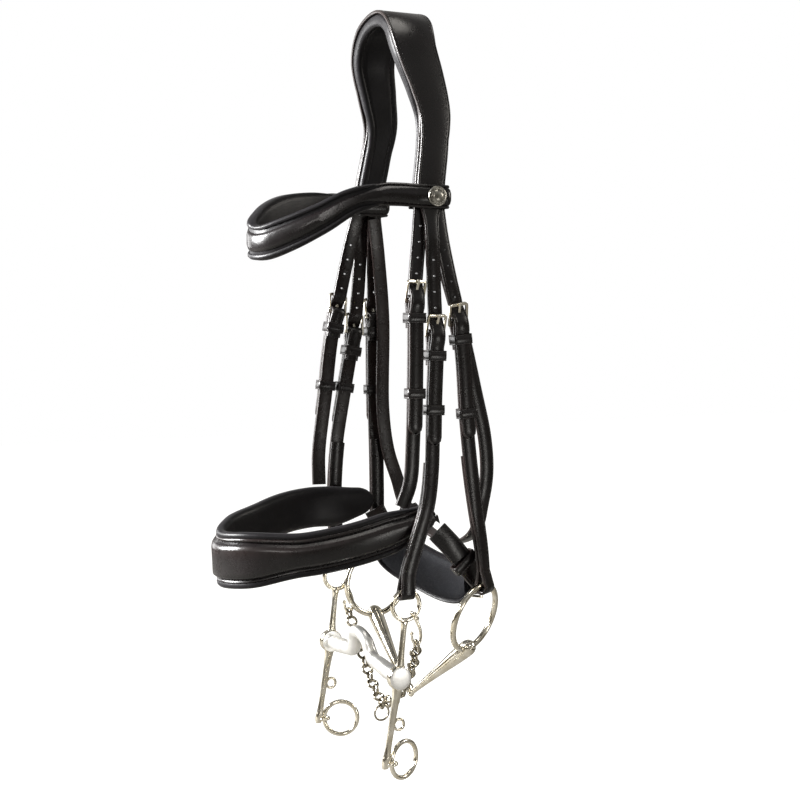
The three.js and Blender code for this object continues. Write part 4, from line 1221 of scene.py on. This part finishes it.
# ---- Bradoon ----
jointMiddle = Vector((0.02 * headHalf, 8, level(1) - 88))
for side, sign in sides.items():
    centre, normal = bradoonRing[side]
    ring = ringPiece(bradoon["radius"], bradoon["wire"], centre + shift, normal, 110, 20)
    ring.name = nameOf(f"bradoon_ring_{side}")
    finishPiece(ring, f"bradoon_ring_{side}", polishedSteel)
    head = onRing(side, math.pi)[0] + shift
    eyeCentre = jointMiddle + shift + X * (sign * (bradoon["eyeLoop"] - bradoon["eyeWire"] - gap / 2))
    along = eyeCentre + X * (sign * bradoon["eyeLoop"]) - head
    length, run = along.length, along.normalized()
    taper = [
        (-6.6, 3.4), (-5.4, 5.3), (-2.5, 6.5), (0, 6.6), (0.15 * length, 6.2), (0.4 * length, 4.8),
        (0.7 * length, 3.2), (length, 2.2),
    ]
    places, radii = [], []
    for (d0, r0), (d1, r1) in zip(taper, taper[1:]):
        for i in range(6):
            places.append(head + run * mix(d0, d1, i / 6))
            radii.append(mix(r0, r1, i / 6))
    places.append(head + run * length)
    radii.append(taper[-1][1])
    radii = [sum(radii[max(0, i - 2):i + 3]) / len(radii[max(0, i - 2):i + 3]) for i in range(len(radii))]
    places, radii = domed(places, radii)
    arm = layRows("arm", tubeRows(places, radii, Y, 28), smoothAngle=60)
    eye = ringPiece(bradoon["eyeLoop"], bradoon["eyeWire"], eyeCentre, Y if sign > 0 else Z, 44, 14)
    finishPiece(joinAll([arm, eye], nameOf(f"bradoon_arm_{side}")), f"bradoon_arm_{side}", polishedSteel)
print("bradoon made")

# ---- Room, light and camera ----
room = {"floor": -0.72, "half": 4.0, "colour": "#fdfdfc", "paint": "#6a6864", "seen": 1.0}


def makeFloorPaint():  # seen as pale paint, but it throws little light back on the object
    material, _ = blankMaterial("pale_floor")
    path = addNode(material, "ShaderNodeLightPath")
    shader = addNode(
        material, "ShaderNodeBsdfPrincipled",
        {"Base Color": linear(room["paint"]), "Roughness": 0.9, "Emission Color": linear(room["colour"])},
        {"Emission Strength": path.outputs["Is Camera Ray"]},
    )
    return finishMaterial(material, shader)


deselectAll()
bpy.ops.mesh.primitive_plane_add(size=2 * room["half"], location=(0, 0, room["floor"]))
floor = bpy.context.object
floor.name = "floor"
floor.data.materials.append(makeFloorPaint())


def areaLight(name, place, target, size, power, colour=(1, 1, 1)):
    light = bpy.data.lights.new(name, "AREA")
    light.energy, light.shape, light.size, light.color = power, "SQUARE", size, colour
    lamp = bpy.data.objects.new(name, light)
    lamp.location = place
    lamp.rotation_mode = "QUATERNION"
    lamp.rotation_quaternion = (Vector(target) - Vector(place)).to_track_quat("-Z", "Y")
    bpy.context.collection.objects.link(lamp)


areaLight("frontSoftbox", (-0.4, -1.4, 0.3), (0, -0.1, -0.3), 0.6, 170)
areaLight("farSoftbox", (-1.35, -0.85, -0.1), (0, 0, -0.45), 0.8, 12)
areaLight("sideSoftbox", (1.5, -1.0, 0.1), (0, 0, -0.4), 0.3, 4, (1, 0.96, 0.93))
areaLight("topSoftbox", (0.2, 0.1, 1.0), (0, 0, -0.2), 0.5, 4, (1, 0.96, 0.9))
areaLight("rearSoftbox", (0.4, 1.3, 0.2), (0, 0, -0.3), 0.4, 5, (1, 0.95, 0.88))
areaLight("bitSoftbox", (1.25, 0.5, -0.62), (0, 0, -0.5), 0.28, 2.2, (1, 0.98, 0.94))


def makeWorld():  # seen as plain white, but it lights the object as a dim room with a pale band
    world = bpy.data.worlds.new("room")
    world.use_nodes = True
    world.node_tree.nodes.clear()
    coords = addNode(world, "ShaderNodeTexCoord").outputs["Generated"]
    split = addNode(world, "ShaderNodeSeparateXYZ", links={"Vector": coords})
    height = addNode(
        world, "ShaderNodeMapRange", {"From Min": -1, "From Max": 1}, {"Value": split.outputs["Z"]},
    )
    stops = [(0, (0.75, 0.72, 0.64, 1)), (0.36, (0.62, 0.57, 0.46, 1)), (0.47, (0.1, 0.085, 0.065, 1)),
             (0.57, (0.13, 0.12, 0.11, 1)), (0.64, (0.5, 0.49, 0.47, 1)), (1, (0.12, 0.12, 0.12, 1))]
    dim = colourRamp(world, height.outputs[0], stops)
    path = addNode(world, "ShaderNodeLightPath")
    seen = addNode(
        world, "ShaderNodeMix", {"data_type": "RGBA", 7: (room["seen"],) * 3 + (1,)},
        {0: path.outputs["Is Camera Ray"], 6: dim},
    )
    background = addNode(world, "ShaderNodeBackground", {"Strength": 1.0}, {"Color": seen.outputs[2]})
    addNode(world, "ShaderNodeOutputWorld", links={"Surface": background.outputs[0]})
    return world


bpy.context.scene.world = makeWorld()
bpy.context.scene.view_settings.view_transform = "Standard"

view = {"place": (1.0426, -0.5042, -0.2247), "lens": 63, "azimuth": 64, "down": 3.84}
deselectAll()
bpy.ops.object.camera_add(location=view["place"])
camera = bpy.context.object
camera.rotation_mode = "XYZ"
camera.rotation_euler = (math.radians(90 - view["down"]), 0, math.radians(view["azimuth"]))
camera.data.lens, camera.data.sensor_width = view["lens"], 36
bpy.context.scene.camera = camera
print("room made")
